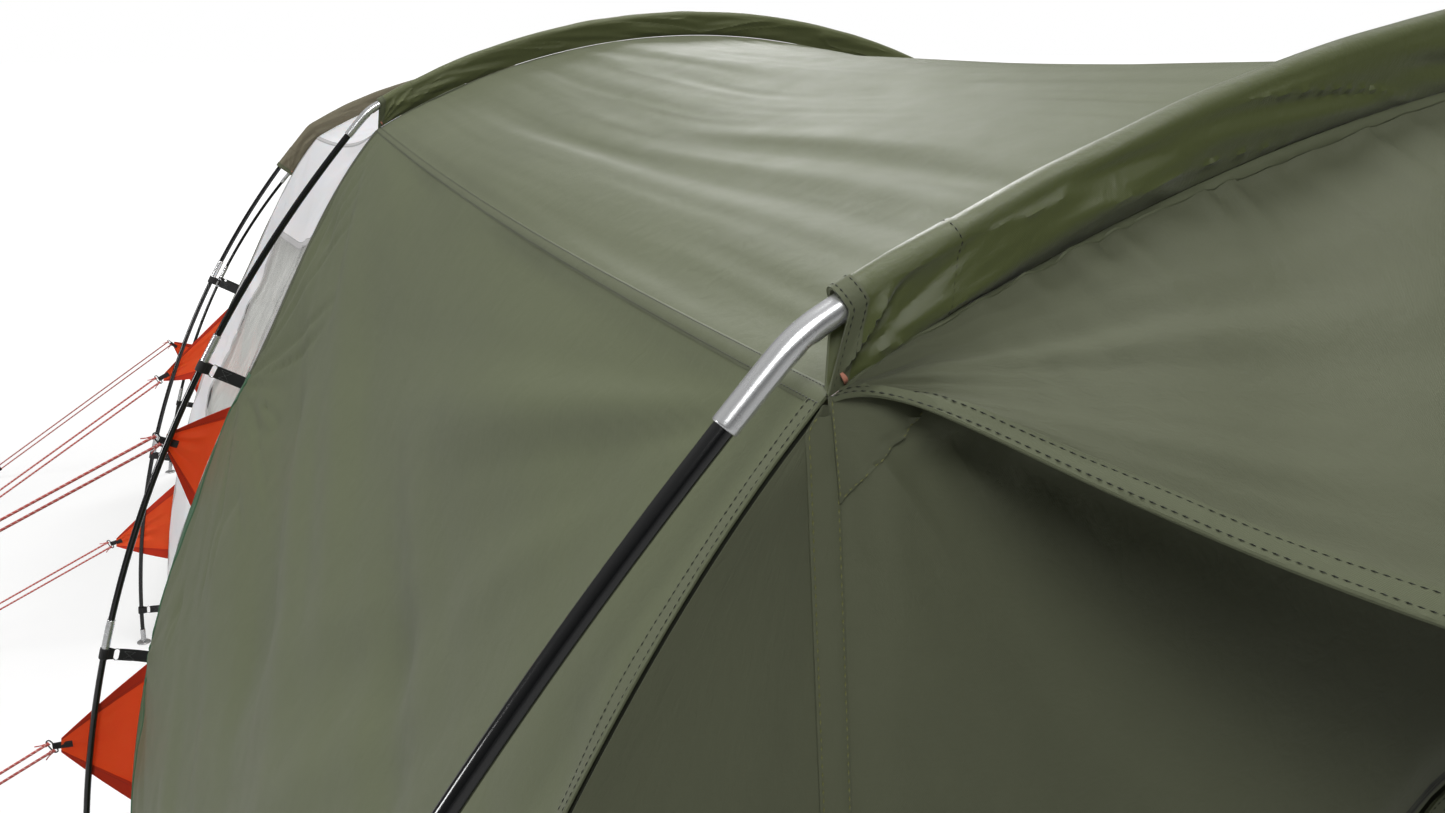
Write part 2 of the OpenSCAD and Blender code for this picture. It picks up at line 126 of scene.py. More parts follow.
SKIN_R = ROOF_R - FIN_H
LEG_CX = (ROOF_R - BEND_R) * sin_d(ROOF_A) + (BEND_R - LEG_R) * sin_d(EAVE_A)
LEG_DROP = ROOF_R - (ROOF_R - BEND_R) * cos_d(ROOF_A) - (BEND_R - LEG_R) * cos_d(EAVE_A)
CORNER_DROP = ROOF_R - math.sqrt(SKIN_R**2 - CORNER_X**2)
CORNER_A = math.degrees(math.asin(CORNER_X / SKIN_R))
CORNER_GAP = LEG_R - math.hypot(CORNER_X - LEG_CX, LEG_DROP - CORNER_DROP)
CORNER_Z = HOOP_H[0] - CORNER_DROP
ROOF_LEN = ROOF_R * math.radians(ROOF_A)
BEND_LEN = ROOF_LEN + BEND_R * math.radians(BEND_A)
ROOF_HALF = SKIN_R * math.radians(CORNER_A)


def leg_cz(h):
    return h - LEG_DROP


def angle_at_z(h, z, r):
    return np.degrees(np.arccos((z - leg_cz(h)) / r))


# ---------------------------------------------------------------- camera
camera_data = bpy.data.cameras.new("camera")
camera_data.sensor_width = 36
camera_data.lens = 32.39
camera_data.clip_start = 0.05
camera_data.clip_end = 200
camera = bpy.data.objects.new("camera", camera_data)
bpy.context.scene.collection.objects.link(camera)
bpy.context.scene.camera = camera
YAW, PITCH = 20.58, -16.116
camera.location = (-0.9395, HOOP_Y[0] - 0.5908, HOOP_H[0] - 0.0289)
aim = Vector((sin_d(YAW) * cos_d(PITCH), cos_d(YAW) * cos_d(PITCH), sin_d(PITCH)))
camera.rotation_mode = "QUATERNION"
camera.rotation_quaternion = aim.to_track_quat("-Z", "Y")

# ---------------------------------------------------------------- mesh building
NOISE = np.random.RandomState(11).uniform(-1, 1, (256, 256))


def noise(x, y, seed=0):
    """Smooth noise from -1 to 1, one cell to a unit."""
    x, y = np.broadcast_arrays(np.asarray(x, float) + 37.7 * seed, np.asarray(y, float) + 19.3 * seed)
    i, j = np.floor(x).astype(int), np.floor(y).astype(int)
    fx, fy = ease(x - i), ease(y - j)
    i0, j0, i1, j1 = i & 255, j & 255, (i + 1) & 255, (j + 1) & 255
    return mix(mix(NOISE[i0, j0], NOISE[i1, j0], fx), mix(NOISE[i0, j1], NOISE[i1, j1], fx), fy)


class Build:
    """Collects closed shells, and turns them into one object."""

    def __init__(self):
        self.points, self.faces, self.uvs, self.count = [], [], [], 0

    def add(self, points, faces, uvs):
        """faces is (n, 3) or (n, 4); uvs has one pair per face corner. Turns the shell right side out."""
        points = np.asarray(points, float).reshape(-1, 3)
        groups = [(np.asarray(f, int), np.asarray(t, float)) for f, t in zip(faces, uvs) if len(f)]
        centre, volume = points.mean(0), 0.0
        for f, _ in groups:
            for a, b, c in ((0, 1, 2), (0, 2, 3))[: f.shape[1] - 2]:
                p, q, r = (points[f[:, k]] - centre for k in (a, b, c))
                volume += (p * np.cross(q, r)).sum()
        for f, t in groups:
            if volume < 0:
                f, t = f[:, ::-1], t[:, ::-1]
            self.faces.append(f + self.count)
            self.uvs.append(t)
        self.points.append(points)
        self.count += len(points)

    def piece(self, name, material, body, slot=None, replaces=(), sharp=40):
        mesh = bpy.data.meshes.new(name)
        points = np.concatenate(self.points)
        loops = np.concatenate([f.ravel() for f in self.faces])
        sizes = np.concatenate([np.full(len(f), f.shape[1]) for f in self.faces])
        mesh.vertices.add(len(points))
        mesh.vertices.foreach_set("co", points.ravel())
        mesh.loops.add(len(loops))
        mesh.loops.foreach_set("vertex_index", loops)
        mesh.polygons.add(len(sizes))
        mesh.polygons.foreach_set("loop_start", np.concatenate([[0], np.cumsum(sizes)[:-1]]))
        mesh.update(calc_edges=True)
        uv = mesh.uv_layers.new(name="UVMap")
        uv.data.foreach_set("uv", np.concatenate([t.reshape(-1, 2) for t in self.uvs]).ravel())
        mesh.polygons.foreach_set("use_smooth", np.ones(len(sizes), bool))
        mesh.set_sharp_from_angle(angle=math.radians(sharp))
        mesh.materials.append(material)
        obj = bpy.data.objects.new(name, mesh)
        bpy.context.scene.collection.objects.link(obj)
        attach(obj, body)
        if replaces:
            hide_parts(*replaces)
        return obj


def circle(count):
    return np.linspace(0, 2 * np.pi, count, endpoint=False)


def swell(w, power):
    """Raises a signed value to a power; powers below 1 make a circle squarer."""
    return np.sign(w) * np.abs(w) ** power


def run_length(line):
    """Running length along a line of points."""
    return np.concatenate([[0], np.cumsum(np.linalg.norm(np.diff(line, axis=0), axis=1))])


def sample(line, s, at):
    """A line's points at the places at, where s holds the place of each of its own points."""
    return np.stack([np.interp(at, s, line[:, k]) for k in range(line.shape[1])], -1)


def evenly(line, count):
    """The same line with evenly spaced points."""
    s = run_length(line)
    return sample(line, s, np.linspace(0, s[-1], count))


def grid_faces(n, m, wrap=False):
    i = np.arange(n - 1)[:, None]
    j = np.arange(m if wrap else m - 1)[None, :]
    k = (j + 1) % m
    corners = np.broadcast_arrays(i * m + j, i * m + k, (i + 1) * m + k, (i + 1) * m + j)
    return np.stack(corners, -1).reshape(-1, 4)


def grid_uvs(uv):
    """Corner UVs of a grid's faces, from an (n, m, 2) grid."""
    return np.stack([uv[:-1, :-1], uv[:-1, 1:], uv[1:, 1:], uv[1:, :-1]], 2).reshape(-1, 4, 2)


def lengths(points, axis):
    """Running length along one axis of a grid of points, averaged over the other."""
    step = np.linalg.norm(np.diff(points, axis=axis), axis=-1).mean(1 - axis)
    return np.concatenate([[0], np.cumsum(step)])


def flat_list(*grids):
    """The points of several grids in one list."""
    return np.concatenate([g.reshape(-1, g.shape[-1]) for g in grids])


def slab(build, outer, inner):
    """A closed sheet between two grids of points."""
    n, m = outer.shape[:2]
    uv = vec(lengths(outer, 0)[:, None], lengths(outer, 1)[None, :])
    total = n * m
    top = grid_faces(n, m)
    i, j = np.arange(n), np.arange(m)
    rims = []
    for line, turn in ((i * m, 1), (i * m + m - 1, -1), (j, -1), ((n - 1) * m + j, 1)):
        rim = np.stack([line[:-1], line[1:], line[1:] + total, line[:-1] + total], -1)
        rims.append(rim[:, ::turn])
    faces = np.concatenate([top, top[:, ::-1] + total, *rims])
    build.add(flat_list(outer, inner), [faces], [flat_list(uv, uv)[faces]])


def loft(build, rings, closed=False):
    """A solid through rings of points, (n, m, 3), capped unless it closes on itself."""
    n, m = rings.shape[:2]
    loop = np.concatenate([rings, rings[:, :1]], 1)
    around = np.linalg.norm(np.diff(loop, axis=1), axis=-1).max(0)
    uv = vec(lengths(rings, 0)[:, None], np.concatenate([[0], np.cumsum(around)])[None, :])
    faces, corners = [grid_faces(n, m, True)], [grid_uvs(uv)]
    points = rings.reshape(-1, 3)
    j, last = np.arange(m), (n - 1) * m
    k = (j + 1) % m
    if closed:
        faces.append(np.stack([last + j, last + k, k, j], -1))
        corners.append(grid_uvs(np.stack([uv[-1], uv[-1] + [abs(uv[1, 0, 0] - uv[0, 0, 0]), 0]])))
    else:
        points = np.concatenate([points, rings[0].mean(0)[None], rings[-1].mean(0)[None]])
        faces.append(np.stack([k, j, np.full(m, n * m)], -1))
        faces.append(np.stack([last + j, last + k, np.full(m, n * m + 1)], -1))
        fan = np.stack([vec(0, uv[0, 1:, 1]), vec(0, uv[0, :-1, 1]), vec(0.002, uv[0, :-1, 1])], 1)
        corners += [fan, fan]
    build.add(points, faces, corners)


def tube_faces(n, m):
    """Faces of a tube with thickness: its outer grid, its inner grid and the rims at both ends."""
    j, total = np.arange(m), n * m
    k = (j + 1) % m
    walls = grid_faces(n, m, True)
    first = np.stack([j, j + total, k + total, k], -1)
    return np.concatenate([walls, walls[:, ::-1] + total, first, first[:, ::-1] + (n - 1) * m])


def shell_loft(build, outer, inner, uv):
    """A tube with thickness and open ends, between two sets of rings."""
    walls = grid_uvs(uv)
    rim = lambda row: np.stack([row[:-1], row[:-1], row[1:], row[1:]], 1)
    corners = np.concatenate([walls, walls[:, ::-1], rim(uv[0]), rim(uv[-1])[:, ::-1]])
    build.add(flat_list(outer, inner), [tube_faces(*outer.shape[:2])], [corners])


def ray_angles(centre, count, marks):
    """Directions round a centre, with one towards each of the marks."""
    to_marks = [math.atan2(*(q - centre)[::-1]) for q in marks]
    every = np.concatenate([np.linspace(-math.pi, math.pi, count, endpoint=False), to_marks])
    return np.unique(np.round(every % (2 * math.pi), 6))


def at_angles(outline, centre, angles):
    """Where rays from the centre cross a closed outline."""
    a, b = outline, np.roll(outline, -1, axis=0)
    d = vec(np.cos(angles), np.sin(angles))[:, None]
    e = (b - a)[None]
    q = (a - centre)[None]
    cross = lambda p, r: p[..., 0] * r[..., 1] - p[..., 1] * r[..., 0]
    den = cross(d, e)
    den = np.where(np.abs(den) < 1e-12, 1e-12, den)
    dist, share = cross(q, e) / den, cross(q, d) / den
    good = (share >= -1e-9) & (share <= 1 + 1e-9) & (dist > 0)
    return centre + d[:, 0] * np.where(good, dist, 1e9).min(1)[:, None]


def holed_sheet(build, hole, rim, face, rows):
    """A closed sheet from a hole's outline to a rim; face(points, lift) puts it in place."""
    flat = hole + (rim - hole) * np.linspace(0, 1, rows)[:, None, None]
    faces = tube_faces(*flat.shape[:2])
    build.add(flat_list(face(flat, 0.0), face(flat, -CLOTH)), [faces], [flat_list(flat, flat)[faces]])


def disc_sheet(build, centre, rim, face, rows=46):
    """A closed sheet that fills an outline round its centre; face(points, lift) puts it in place."""
    flat = centre + (rim - centre) * np.linspace(0.012, 1, rows)[:, None, None]
    hub = centre[None, None]
    points = flat_list(face(flat, 0.0), face(flat, -CLOTH), face(hub, 0.0), face(hub, -CLOTH))
    n, m = flat.shape[:2]
    j, total = np.arange(m), n * m
    k = (j + 1) % m
    grid = grid_faces(n, m, True)
    edge = np.stack([k, k + total, j + total, j], -1) + (n - 1) * m
    quads = np.concatenate([grid, grid[:, ::-1] + total, edge])
    front = np.stack([k, j, np.full(m, 2 * total)], -1)
    back = np.stack([j + total, k + total, np.full(m, 2 * total + 1)], -1)
    tris = np.concatenate([front, back])
    uv = flat_list(flat, flat, hub, hub)
    build.add(points, [quads, tris], [uv[quads], uv[tris]])


def rings_along(path, radius, sides=16, side_dir=None):
    """Round rings across a path; the first point of each lies toward side_dir."""
    path = np.asarray(path, float)
    tangent = unit(np.gradient(path, axis=0))
    if side_dir is None:
        across = np.zeros_like(path)
        a = np.cross(tangent[0], [0, 0, 1.0] if abs(tangent[0][2]) < 0.9 else [1.0, 0, 0])
        for k, t in enumerate(tangent):
            a = unit(a - t * (a @ t))
            across[k] = a
    else:
        side = np.broadcast_to(np.asarray(side_dir, float), path.shape)
        across = unit(side - tangent * (side * tangent).sum(-1, keepdims=True))
    up = np.cross(tangent, across)
    phi = circle(sides)[None, :, None]
    radius = np.broadcast_to(np.asarray(radius, float), (len(path),))[:, None, None]
    return path[:, None] + radius * (np.cos(phi) * across[:, None] + np.sin(phi) * up[:, None])


def wire_loop(build, middle, first, second, radius, sides, side_dir, count=40, power=1.0):
    """A closed loop of round wire; first and second are its half axes."""
    t = circle(count)[:, None]
    path = middle + first * swell(np.cos(t), power) + second * swell(np.sin(t), power)
    rings = rings_along(np.concatenate([path, path[:1]]), radius, sides, side_dir)
    loft(build, rings[:-1], closed=True)


def lipped(start, end, radius, inner, steps):
    """Places and radii along a round sleeve whose ends are rounded over."""
    r = min(0.0015, abs(end - start) * 0.2)
    lip = np.array([0, 0, 0.2, 0.5, 1.0]) * r
    size = np.array([inner, radius - 0.5 * r, radius - 0.18 * r, radius - 0.05 * r, radius])
    s = np.concatenate([start + lip, np.linspace(start + r, end - r, steps)[1:-1], end - lip[::-1]])
    return s, np.concatenate([size, np.full(steps - 2, radius), size[::-1]])


def stitches(build, points, normals, pitch=0.0046, length=0.0034, width=0.0011, height=0.0009):
    """A row of thread stitches that lie on a surface along a polyline."""
    points = np.asarray(points, float)
    normals = np.broadcast_to(normals, points.shape)
    s = run_length(points)
    at = np.arange(pitch / 2, s[-1], pitch)
    t = unit(sample(np.gradient(points, axis=0), s, at))
    n = unit(sample(normals, s, at))
    b = np.cross(n, t)
    p = sample(points, s, at) + n * 0.0001
    ends, sides, faces_out = t * length / 2, b * width / 2, n * height / 2
    tips = np.stack([p - ends, p + ends, p - sides, p + sides, p - faces_out, p + faces_out], 1)
    octahedron = ((0, 2, 5), (0, 5, 3), (0, 3, 4), (0, 4, 2), (1, 5, 2), (1, 3, 5), (1, 4, 3), (1, 2, 4))
    base = np.arange(len(p))[:, None] * 6
    faces = np.concatenate([base + np.array(f)[None] for f in octahedron])
    uv = np.tile([[0, 0], [0.001, 0], [0.001, 0.001]], (len(faces), 1, 1))
    build.add(tips.reshape(-1, 3), [faces], [uv])


class Skin:
    """The outer face of a panel. dents(u, v) moves it along its normal."""

    def __init__(self, where, dents, flip=1):
        self.where, self.dents, self.flip = where, dents, flip

    def cross(self, place, u, v, e=1e-3):
        du, dv = place(u + e, v) - place(u - e, v), place(u, v + e) - place(u, v - e)
        return unit(np.cross(du, dv)) * self.flip

    def point(self, u, v):
        return self.where(u, v) + self.cross(self.where, u, v) * self.dents(u, v)[..., None]

    def both(self, u, v):
        return self.point(u, v), self.cross(self.point, u, v)


def panel(build, skin, us, vs, thick=CLOTH, lift=0.0):
    u, v = np.meshgrid(us, vs, indexing="ij")
    p, n = skin.both(u, v)
    slab(build, p + n * lift, p + n * (lift - thick))


def strip(build, place, along, across, lifts, thick=0.0008):
    """A raised band. place(a, b) gives points and normals; lifts is its height at each step across."""
    a, b = np.meshgrid(along, across, indexing="ij")
    p, n = place(a, b)
    h = np.asarray(lifts, float)[None, :, None]
    s = lengths(p, 0)[:, None]
    ripple = 1 + 0.22 * noise(s / 0.007, np.arange(len(across))[None, :] * 0.35, 5)[..., None]
    slab(build, p + n * h * ripple, p + n * (np.minimum(h, 0.0003) - thick))


def seam_rows(build, place, along, offsets, lift, **kw):
    """Rows of stitches along a band, one at each offset across it."""
    for offset in offsets:
        p, n = place(along, np.full_like(along, offset))
        stitches(build, p + n * lift, n, **kw)


# ---------------------------------------------------------------- materials
class Nodes:
    """A node tree, with short ways to add nodes to it."""

    def __init__(self, tree):
        self.tree = tree

    def feed(self, node, inputs):
        """Gives each named or numbered input a value or a link."""
        for key, value in inputs.items():
            socket = node.inputs[key]
            if isinstance(value, bpy.types.NodeSocket):
                self.tree.links.new(value, socket)
            elif socket.type == "RGBA":
                socket.default_value = (*value, 1)
            else:
                socket.default_value = value

    def node(self, kind, inputs=(), **settings):
        node = self.tree.nodes.new("ShaderNode" + kind)
        for key, value in settings.items():
            setattr(node, key, value)
        self.feed(node, dict(inputs))
        return node

    def calc(self, op, a, b, clamp=False):
        return self.node("Math", {0: a, 1: b}, operation=op, use_clamp=clamp).outputs[0]

    def plus(self, a, b, clamp=False):
        return self.calc("ADD", a, b, clamp)

    def minus(self, a, b):
        return self.calc("SUBTRACT", a, b)

    def times(self, a, b):
        return self.calc("MULTIPLY", a, b)

    def noise(self, vector, scale, detail=3.0, rough=0.5, distortion=0.0):
        inputs = {"Vector": vector, "Scale": scale, "Detail": detail, "Roughness": rough,
                  "Distortion": distortion}
        return self.node("TexNoise", inputs).outputs[0]

    def drawn_noise(self, along, across, detail, rough):
        """Noise drawn out along the surface; along and across are its cells to a metre."""
        vector = self.node("Mapping", {"Vector": self.uv, "Scale": (along, across, 1)}).outputs[0]
        return self.noise(vector, 1.0, detail, rough)

    def wave(self, vector, period, direction):
        inputs = {"Vector": vector, "Scale": 2 * math.pi / 20 / period}
        return self.node("TexWave", inputs, bands_direction=direction).outputs["Fac"]

    def spread(self, value, low, high, from_low=0.0, from_high=1.0):
        """Moves a value from one range to another."""
        inputs = {"Value": value, "From Min": from_low, "From Max": from_high, "To Min": low, "To Max": high}
        return self.node("MapRange", inputs).outputs[0]

    def tinted(self, colour, factor):
        """A colour times a grey factor."""
        inputs = {"Factor": 1.0, 6: colour, 7: factor}
        return self.node("Mix", inputs, data_type="RGBA", blend_type="MULTIPLY").outputs[2]


class Material(Nodes):
    """A surface material: its shader, and the UV and object coordinates that its textures use."""

    def __init__(self, name):
        self.material = bpy.data.materials.new(name)
        self.material.use_nodes = True
        super().__init__(self.material.node_tree)
        self.bsdf = self.tree.nodes["Principled BSDF"]
        where = self.node("TexCoord")
        self.uv, self.place = where.outputs["UV"], where.outputs["Object"]

    def surface(self, height, colour, rough=None, **values):
        """Gives the shader its bump, colour, roughness and plain values."""
        bump = self.node("Bump", {"Distance": 1.0, "Height": height})
        inputs = {"Normal": bump.outputs[0], "Base Color": colour}
        if rough is not None:
            inputs["Roughness"] = rough
        inputs.update((key.replace("_", " "), value) for key, value in values.items())
        self.feed(self.bsdf, inputs)
        return self.material


def srgb(r, g, b):
    linear = lambda c: c / 12.92 if c <= 0.04045 else ((c + 0.055) / 1.055) ** 2.4
    return tuple(linear(c / 255) for c in (r, g, b))


def fabric(name, colour, mottle=0.09, weave=0.0010, rough=0.60, sheen=0.06, crumple=0.0007, ribs=0.00005,
           glow=0.0, lit=0.0, gloss=0.30, streak=0.0):
    """Coated polyester: fine plain weave, soft crumples and slight patches of shade; lit adds an emission
    that paints light shining through the cloth, and streak paints streaks of fold shade.
    """
    m = Material(name)
    patches = m.spread(m.noise(m.place, 3.0, 4, 0.6), 1 - mottle, 1 + mottle)
    blotches = m.spread(m.noise(m.uv, 28.0, 3, 0.6), -0.5 * mottle, 0.5 * mottle)
    slubs = m.spread(m.drawn_noise(60, 900, 2, 0.7), -0.035, 0.035)
    shade = m.plus(m.plus(patches, blotches), slubs)
    # streak paints light and dark streaks drawn out along the cloth: painted shade of a gathered curtain's
    # folds
    if streak:
        shade = m.plus(shade, m.spread(m.drawn_noise(60, 5, 3, 0.6), -streak, streak))
    warp = m.minus(m.wave(m.uv, weave, "X"), 0.5)
    weft = m.minus(m.wave(m.uv, weave * 0.85, "Y"), 0.5)
    cloth = m.times(m.times(warp, weft), ribs * 4)
    creases = m.times(m.noise(m.uv, 42.0, 4, 0.55, 0.6), crumple)
    grain = m.times(m.noise(m.uv, 260.0, 2, 0.6), crumple * 0.12)
    more = {}
    if glow:
        more.update(Subsurface_Weight=glow, Subsurface_Radius=(0.004, 0.0022, 0.0016), Subsurface_Scale=1.0)
    # lit sets an emission in the cloth's own colour: painted glow that stands in for light shining through it
    if lit:
        more.update(Emission_Color=colour, Emission_Strength=lit)
    return m.surface(m.plus(m.plus(cloth, creases), grain), m.tinted(colour, shade),
                     m.spread(m.noise(m.place, 14.0, 3), rough - 0.07, rough + 0.07),
                     Sheen_Weight=sheen, Sheen_Roughness=0.45, Specular_IOR_Level=gloss, **more)


def webbing(name, colour, rough=0.65):
    """Woven strap: ribs along it and a coarse weave across."""
    m = Material(name)
    ribs, picks = m.wave(m.uv, 0.0021, "Y"), m.wave(m.uv, 0.0012, "X")
    fuzz = m.noise(m.place, 700.0, 2, 0.7)
    # colour darkens with the rib bump: painted shade in the grooves between ribs; the fuzz part is the yarn's
    # own random tone
    shade = m.times(m.spread(ribs, 0.75, 1.15), m.spread(fuzz, 0.75, 1.25))
    return m.surface(m.plus(m.times(ribs, 0.00018), m.times(picks, 0.00010)), m.tinted(colour, shade),
                     m.spread(fuzz, rough - 0.1, rough + 0.1), Sheen_Weight=0.2, Sheen_Roughness=0.4)


def braid(name, colour, fleck):
    """Braided cord: crossing strands, with a lighter tracer thread."""
    m = Material(name)
    turned = lambda a: m.node("Mapping", {"Vector": m.uv, "Rotation": (0, 0, math.radians(a))}).outputs[0]
    one, two = turned(38), turned(-38)
    strands = m.calc("MAXIMUM", m.wave(one, 0.0013, "X"), m.wave(two, 0.0013, "X"))
    tracer = m.calc("GREATER_THAN", m.wave(one, 0.0104, "X"), 0.9)
    yarn = m.node("Mix", {"Factor": tracer, 6: colour, 7: fleck}, data_type="RGBA").outputs[2]
    # colour darkens between the strands, following their bump: painted shade in the gaps of the braid
    return m.surface(m.times(strands, 0.00022), m.tinted(yarn, m.spread(strands, 0.72, 1.08)),
                     m.spread(m.noise(m.place, 300, 2), 0.5, 0.72), Sheen_Weight=0.25, Sheen_Roughness=0.4)


def steel(name, colour, rough, streak=0.03, dirt=0.08):
    """Polished plated tube: fine drawing lines along it, smudges and dull scuffs."""
    m = Material(name)
    drawn = m.drawn_noise(14, 1500, 3, 0.6)
    worn = m.spread(m.noise(m.place, 55.0, 4, 0.6), 0.0, 1.0, 0.52, 0.78)
    pits = m.noise(m.place, 520.0, 2, 0.5)
    gloss = m.plus(m.spread(drawn, rough - streak, rough + streak), m.times(worn, dirt), True)
    shade = m.minus(m.spread(drawn, 0.97, 1.03), m.times(worn, 0.10))
    height = m.plus(m.times(drawn, 0.000004), m.times(pits, 0.000004))
    return m.surface(height, m.tinted(colour, shade), gloss, Metallic=0.80)


def fibreglass(name, colour):
    """Gloss black pultruded rod: faint fibre lines, specks and rubbed patches."""
    m = Material(name)
    fibres = m.drawn_noise(3, 700, 3, 0.65)
    specks = m.noise(m.place, 240.0, 3, 0.7)
    rubbed = m.noise(m.place, 9.0, 5, 0.7)
    shade = m.plus(m.spread(fibres, 0.7, 1.5), m.spread(specks, 0.0, 1.6, 0.66, 0.9))
    gloss = m.plus(m.spread(rubbed, 0.10, 0.22), m.spread(fibres, -0.03, 0.04))
    height = m.plus(m.times(fibres, 0.000035), m.times(specks, 0.00002))
    return m.surface(height, m.tinted(colour, shade), gloss,
                     Coat_Weight=0.5, Coat_Roughness=0.12, Specular_IOR_Level=0.5)


def plastic(name, colour, rough=0.42):
    """Moulded plastic: fine spark grain and handling marks."""
    m = Material(name)
    marks = m.noise(m.place, 60.0, 4, 0.6)
    return m.surface(m.times(m.noise(m.place, 1400.0, 2, 0.6), 0.00004),
                     m.tinted(colour, m.spread(marks, 0.85, 1.2)), m.spread(marks, rough - 0.1, rough + 0.12))


def clear_film(name, colour):
    """Tinted vinyl that shows what hangs behind it."""
    m = Material(name)
    haze = m.noise(m.place, 20.0, 4, 0.6)
    m.material.surface_render_method = "BLENDED"
    return m.surface(m.times(m.noise(m.uv, 7.0, 3, 0.5, 0.4), 0.004),
                     m.tinted(colour, m.spread(haze, 0.9, 1.08)), m.spread(haze, 0.10, 0.22),
                     Alpha=0.16, Specular_IOR_Level=0.4)


SLEEVE = dict(crumple=0.0010)
FLAP = dict(mottle=0.10, weave=0.0013, rough=0.55)
GROUND = dict(weave=0.0022, ribs=0.00012)
MAT = {
    # roof, wall, end, visor and hem are one flysheet fabric in lit and shaded copies: its base colour is
    # painted lightest on the roof and darkest on the shaded front end wall, as painted light and shade
    "roof": fabric("roof_fabric", srgb(107, 112, 88), rough=0.60, gloss=0.24),
    "wall": fabric("wall_fabric", srgb(99, 105, 78), rough=0.60),
    "end": fabric("end_wall_fabric", srgb(94, 98, 76), crumple=0.0009),
    "visor": fabric("visor_fabric", srgb(100, 104, 82), crumple=0.0009),
    # sleeve and sleeve_mid are one sleeve fabric in a shaded and a lit copy: painted darker and more
    # saturated on the front hoop, lighter on the second, as painted shade and light
    "sleeve": fabric("sleeve_fabric", srgb(83, 91, 47), sheen=0.34, rough=0.34, gloss=0.56, **SLEEVE),
    "sleeve_mid": fabric("second_sleeve_fabric", srgb(101, 107, 70), sheen=0.30, rough=0.42, **SLEEVE),
    "sleeve_rear": fabric("rear_sleeve_fabric", srgb(118, 112, 92), **SLEEVE),
    "hem": fabric("hem_fabric", srgb(99, 104, 80), crumple=0.0006),
    # the grey wall's emission (lit) is painted glow, standing in for daylight shining through the pale cloth
    "grey": fabric("grey_wall_fabric", srgb(226, 223, 225), mottle=0.02, crumple=0.0006, rough=0.55,
                   glow=0.4, lit=0.20),
    "grey_hem": fabric("grey_hem_fabric", srgb(208, 206, 206), mottle=0.03),
    "teal": fabric("teal_tape", srgb(78, 118, 88), mottle=0.08),
    # the flap's bright base colour and its emission (lit) paint the glow of light shining through the cloth
    # from behind
    "flap": fabric("flap_fabric", srgb(250, 84, 30), ribs=0.00008, glow=0.7, lit=0.07, **FLAP),
    "flap_hem": fabric("flap_hem_fabric", srgb(206, 50, 18), **FLAP),
    # the curtain's emission (lit) is painted glow, and its streaks are painted shade of its folds
    "curtain": fabric("curtain_fabric", srgb(226, 226, 221), mottle=0.05, crumple=0.001,
                      lit=0.14, streak=0.30),
    "inner": fabric("bedroom_fabric", srgb(205, 200, 182), mottle=0.05, weave=0.0012),
    "ground": fabric("groundsheet_fabric", srgb(70, 73, 74), mottle=0.12, rough=0.5, **GROUND),
    "ground_inner": fabric("bedroom_floor_fabric", srgb(88, 92, 96), mottle=0.10, **GROUND),
    "tab": fabric("tab_fabric", srgb(190, 128, 106), mottle=0.10),
    "thread": webbing("green_thread", srgb(38, 42, 26)),
    "thread_light": webbing("olive_thread", srgb(120, 122, 70)),
    "thread_grey": webbing("grey_thread", srgb(150, 150, 150)),
    "thread_red": webbing("red_thread", srgb(120, 22, 12)),
    "black": webbing("black_webbing", srgb(30, 30, 31)),
    "cord": braid("guy_cord_braid", srgb(206, 92, 84), srgb(232, 176, 168)),
    "steel": steel("ferrule_steel", (0.85, 0.86, 0.87), 0.26),
    "wire": steel("ring_wire_steel", (0.74, 0.75, 0.76), 0.22),
    "disc": steel("foot_steel", (0.52, 0.52, 0.52), 0.34, 0.06, 0.2),
    "pole": fibreglass("pole_fibreglass", srgb(15, 16, 17)),
    "plastic": plastic("runner_plastic", srgb(34, 35, 36)),
    "ring": plastic("black_ring_plastic", srgb(20, 20, 21), 0.34),
    "teeth": plastic("zip_coil_plastic", srgb(40, 42, 36), 0.38),
    "tape": webbing("zip_tape_cloth", srgb(46, 49, 38)),
    "slider": steel("slider_metal", (0.20, 0.20, 0.21), 0.28),
    "film": clear_film("window_film", srgb(170, 172, 171)),
}


def mirror(side):
    """Factors that turn a place on the left side into the same place on the given side."""
    return np.array([-side, 1.0, 1.0])


def guy_frame(g, side):
    """Tip, far end, direction and cross direction of one doubled guy line."""
    hoop, _, _, tip, end = g
    turn = mirror(side)
    tip = np.array([tip[0] - 0.006, HOOP_Y[hoop] + tip[1], tip[2]])
    end = np.array([end[0], HOOP_Y[hoop] + end[1], end[2]])
    d = unit(end - tip)
    c = unit(np.cross(d, np.cross(d, [0, 0, 1.0])))
    return tip * turn, end * turn, d * turn, c * turn


def guy_route(g, side):
    """Route of one doubled guy line: out from the tip, round the loop at its far end, and back."""
    tip, end, d, c = guy_frame(g, side)
    start, turn = tip + 0.004 * d, end - STRAND_HALF * d
    half = STRAND_HALF * c
    run = np.concatenate([[0, 0.03], np.linspace(0, 1, 10)[1:-1] * np.linalg.norm(turn - start)])
    run = np.sort(run)[:, None]
    bend = np.radians(np.linspace(-90, 90, 13))[:, None]
    out = start - half + run * d
    loop = turn + STRAND_HALF * (np.cos(bend) * d + np.sin(bend) * c)
    back = (start + half + run * d)[::-1]
    return np.concatenate([out, loop, back])


for k, g in enumerate(GUYS):
    for side, word in LEFT_RIGHT:
        route = guy_route(g, side)
        build = Build()
        loft(build, rings_along(route, CORD_R, 12))
        name = f"{k + 1}_{word}"
        cord = build.piece(f"guy_cord_{name}", MAT["cord"], "tent", "guy_cord", [f"guy_line_{name}"])


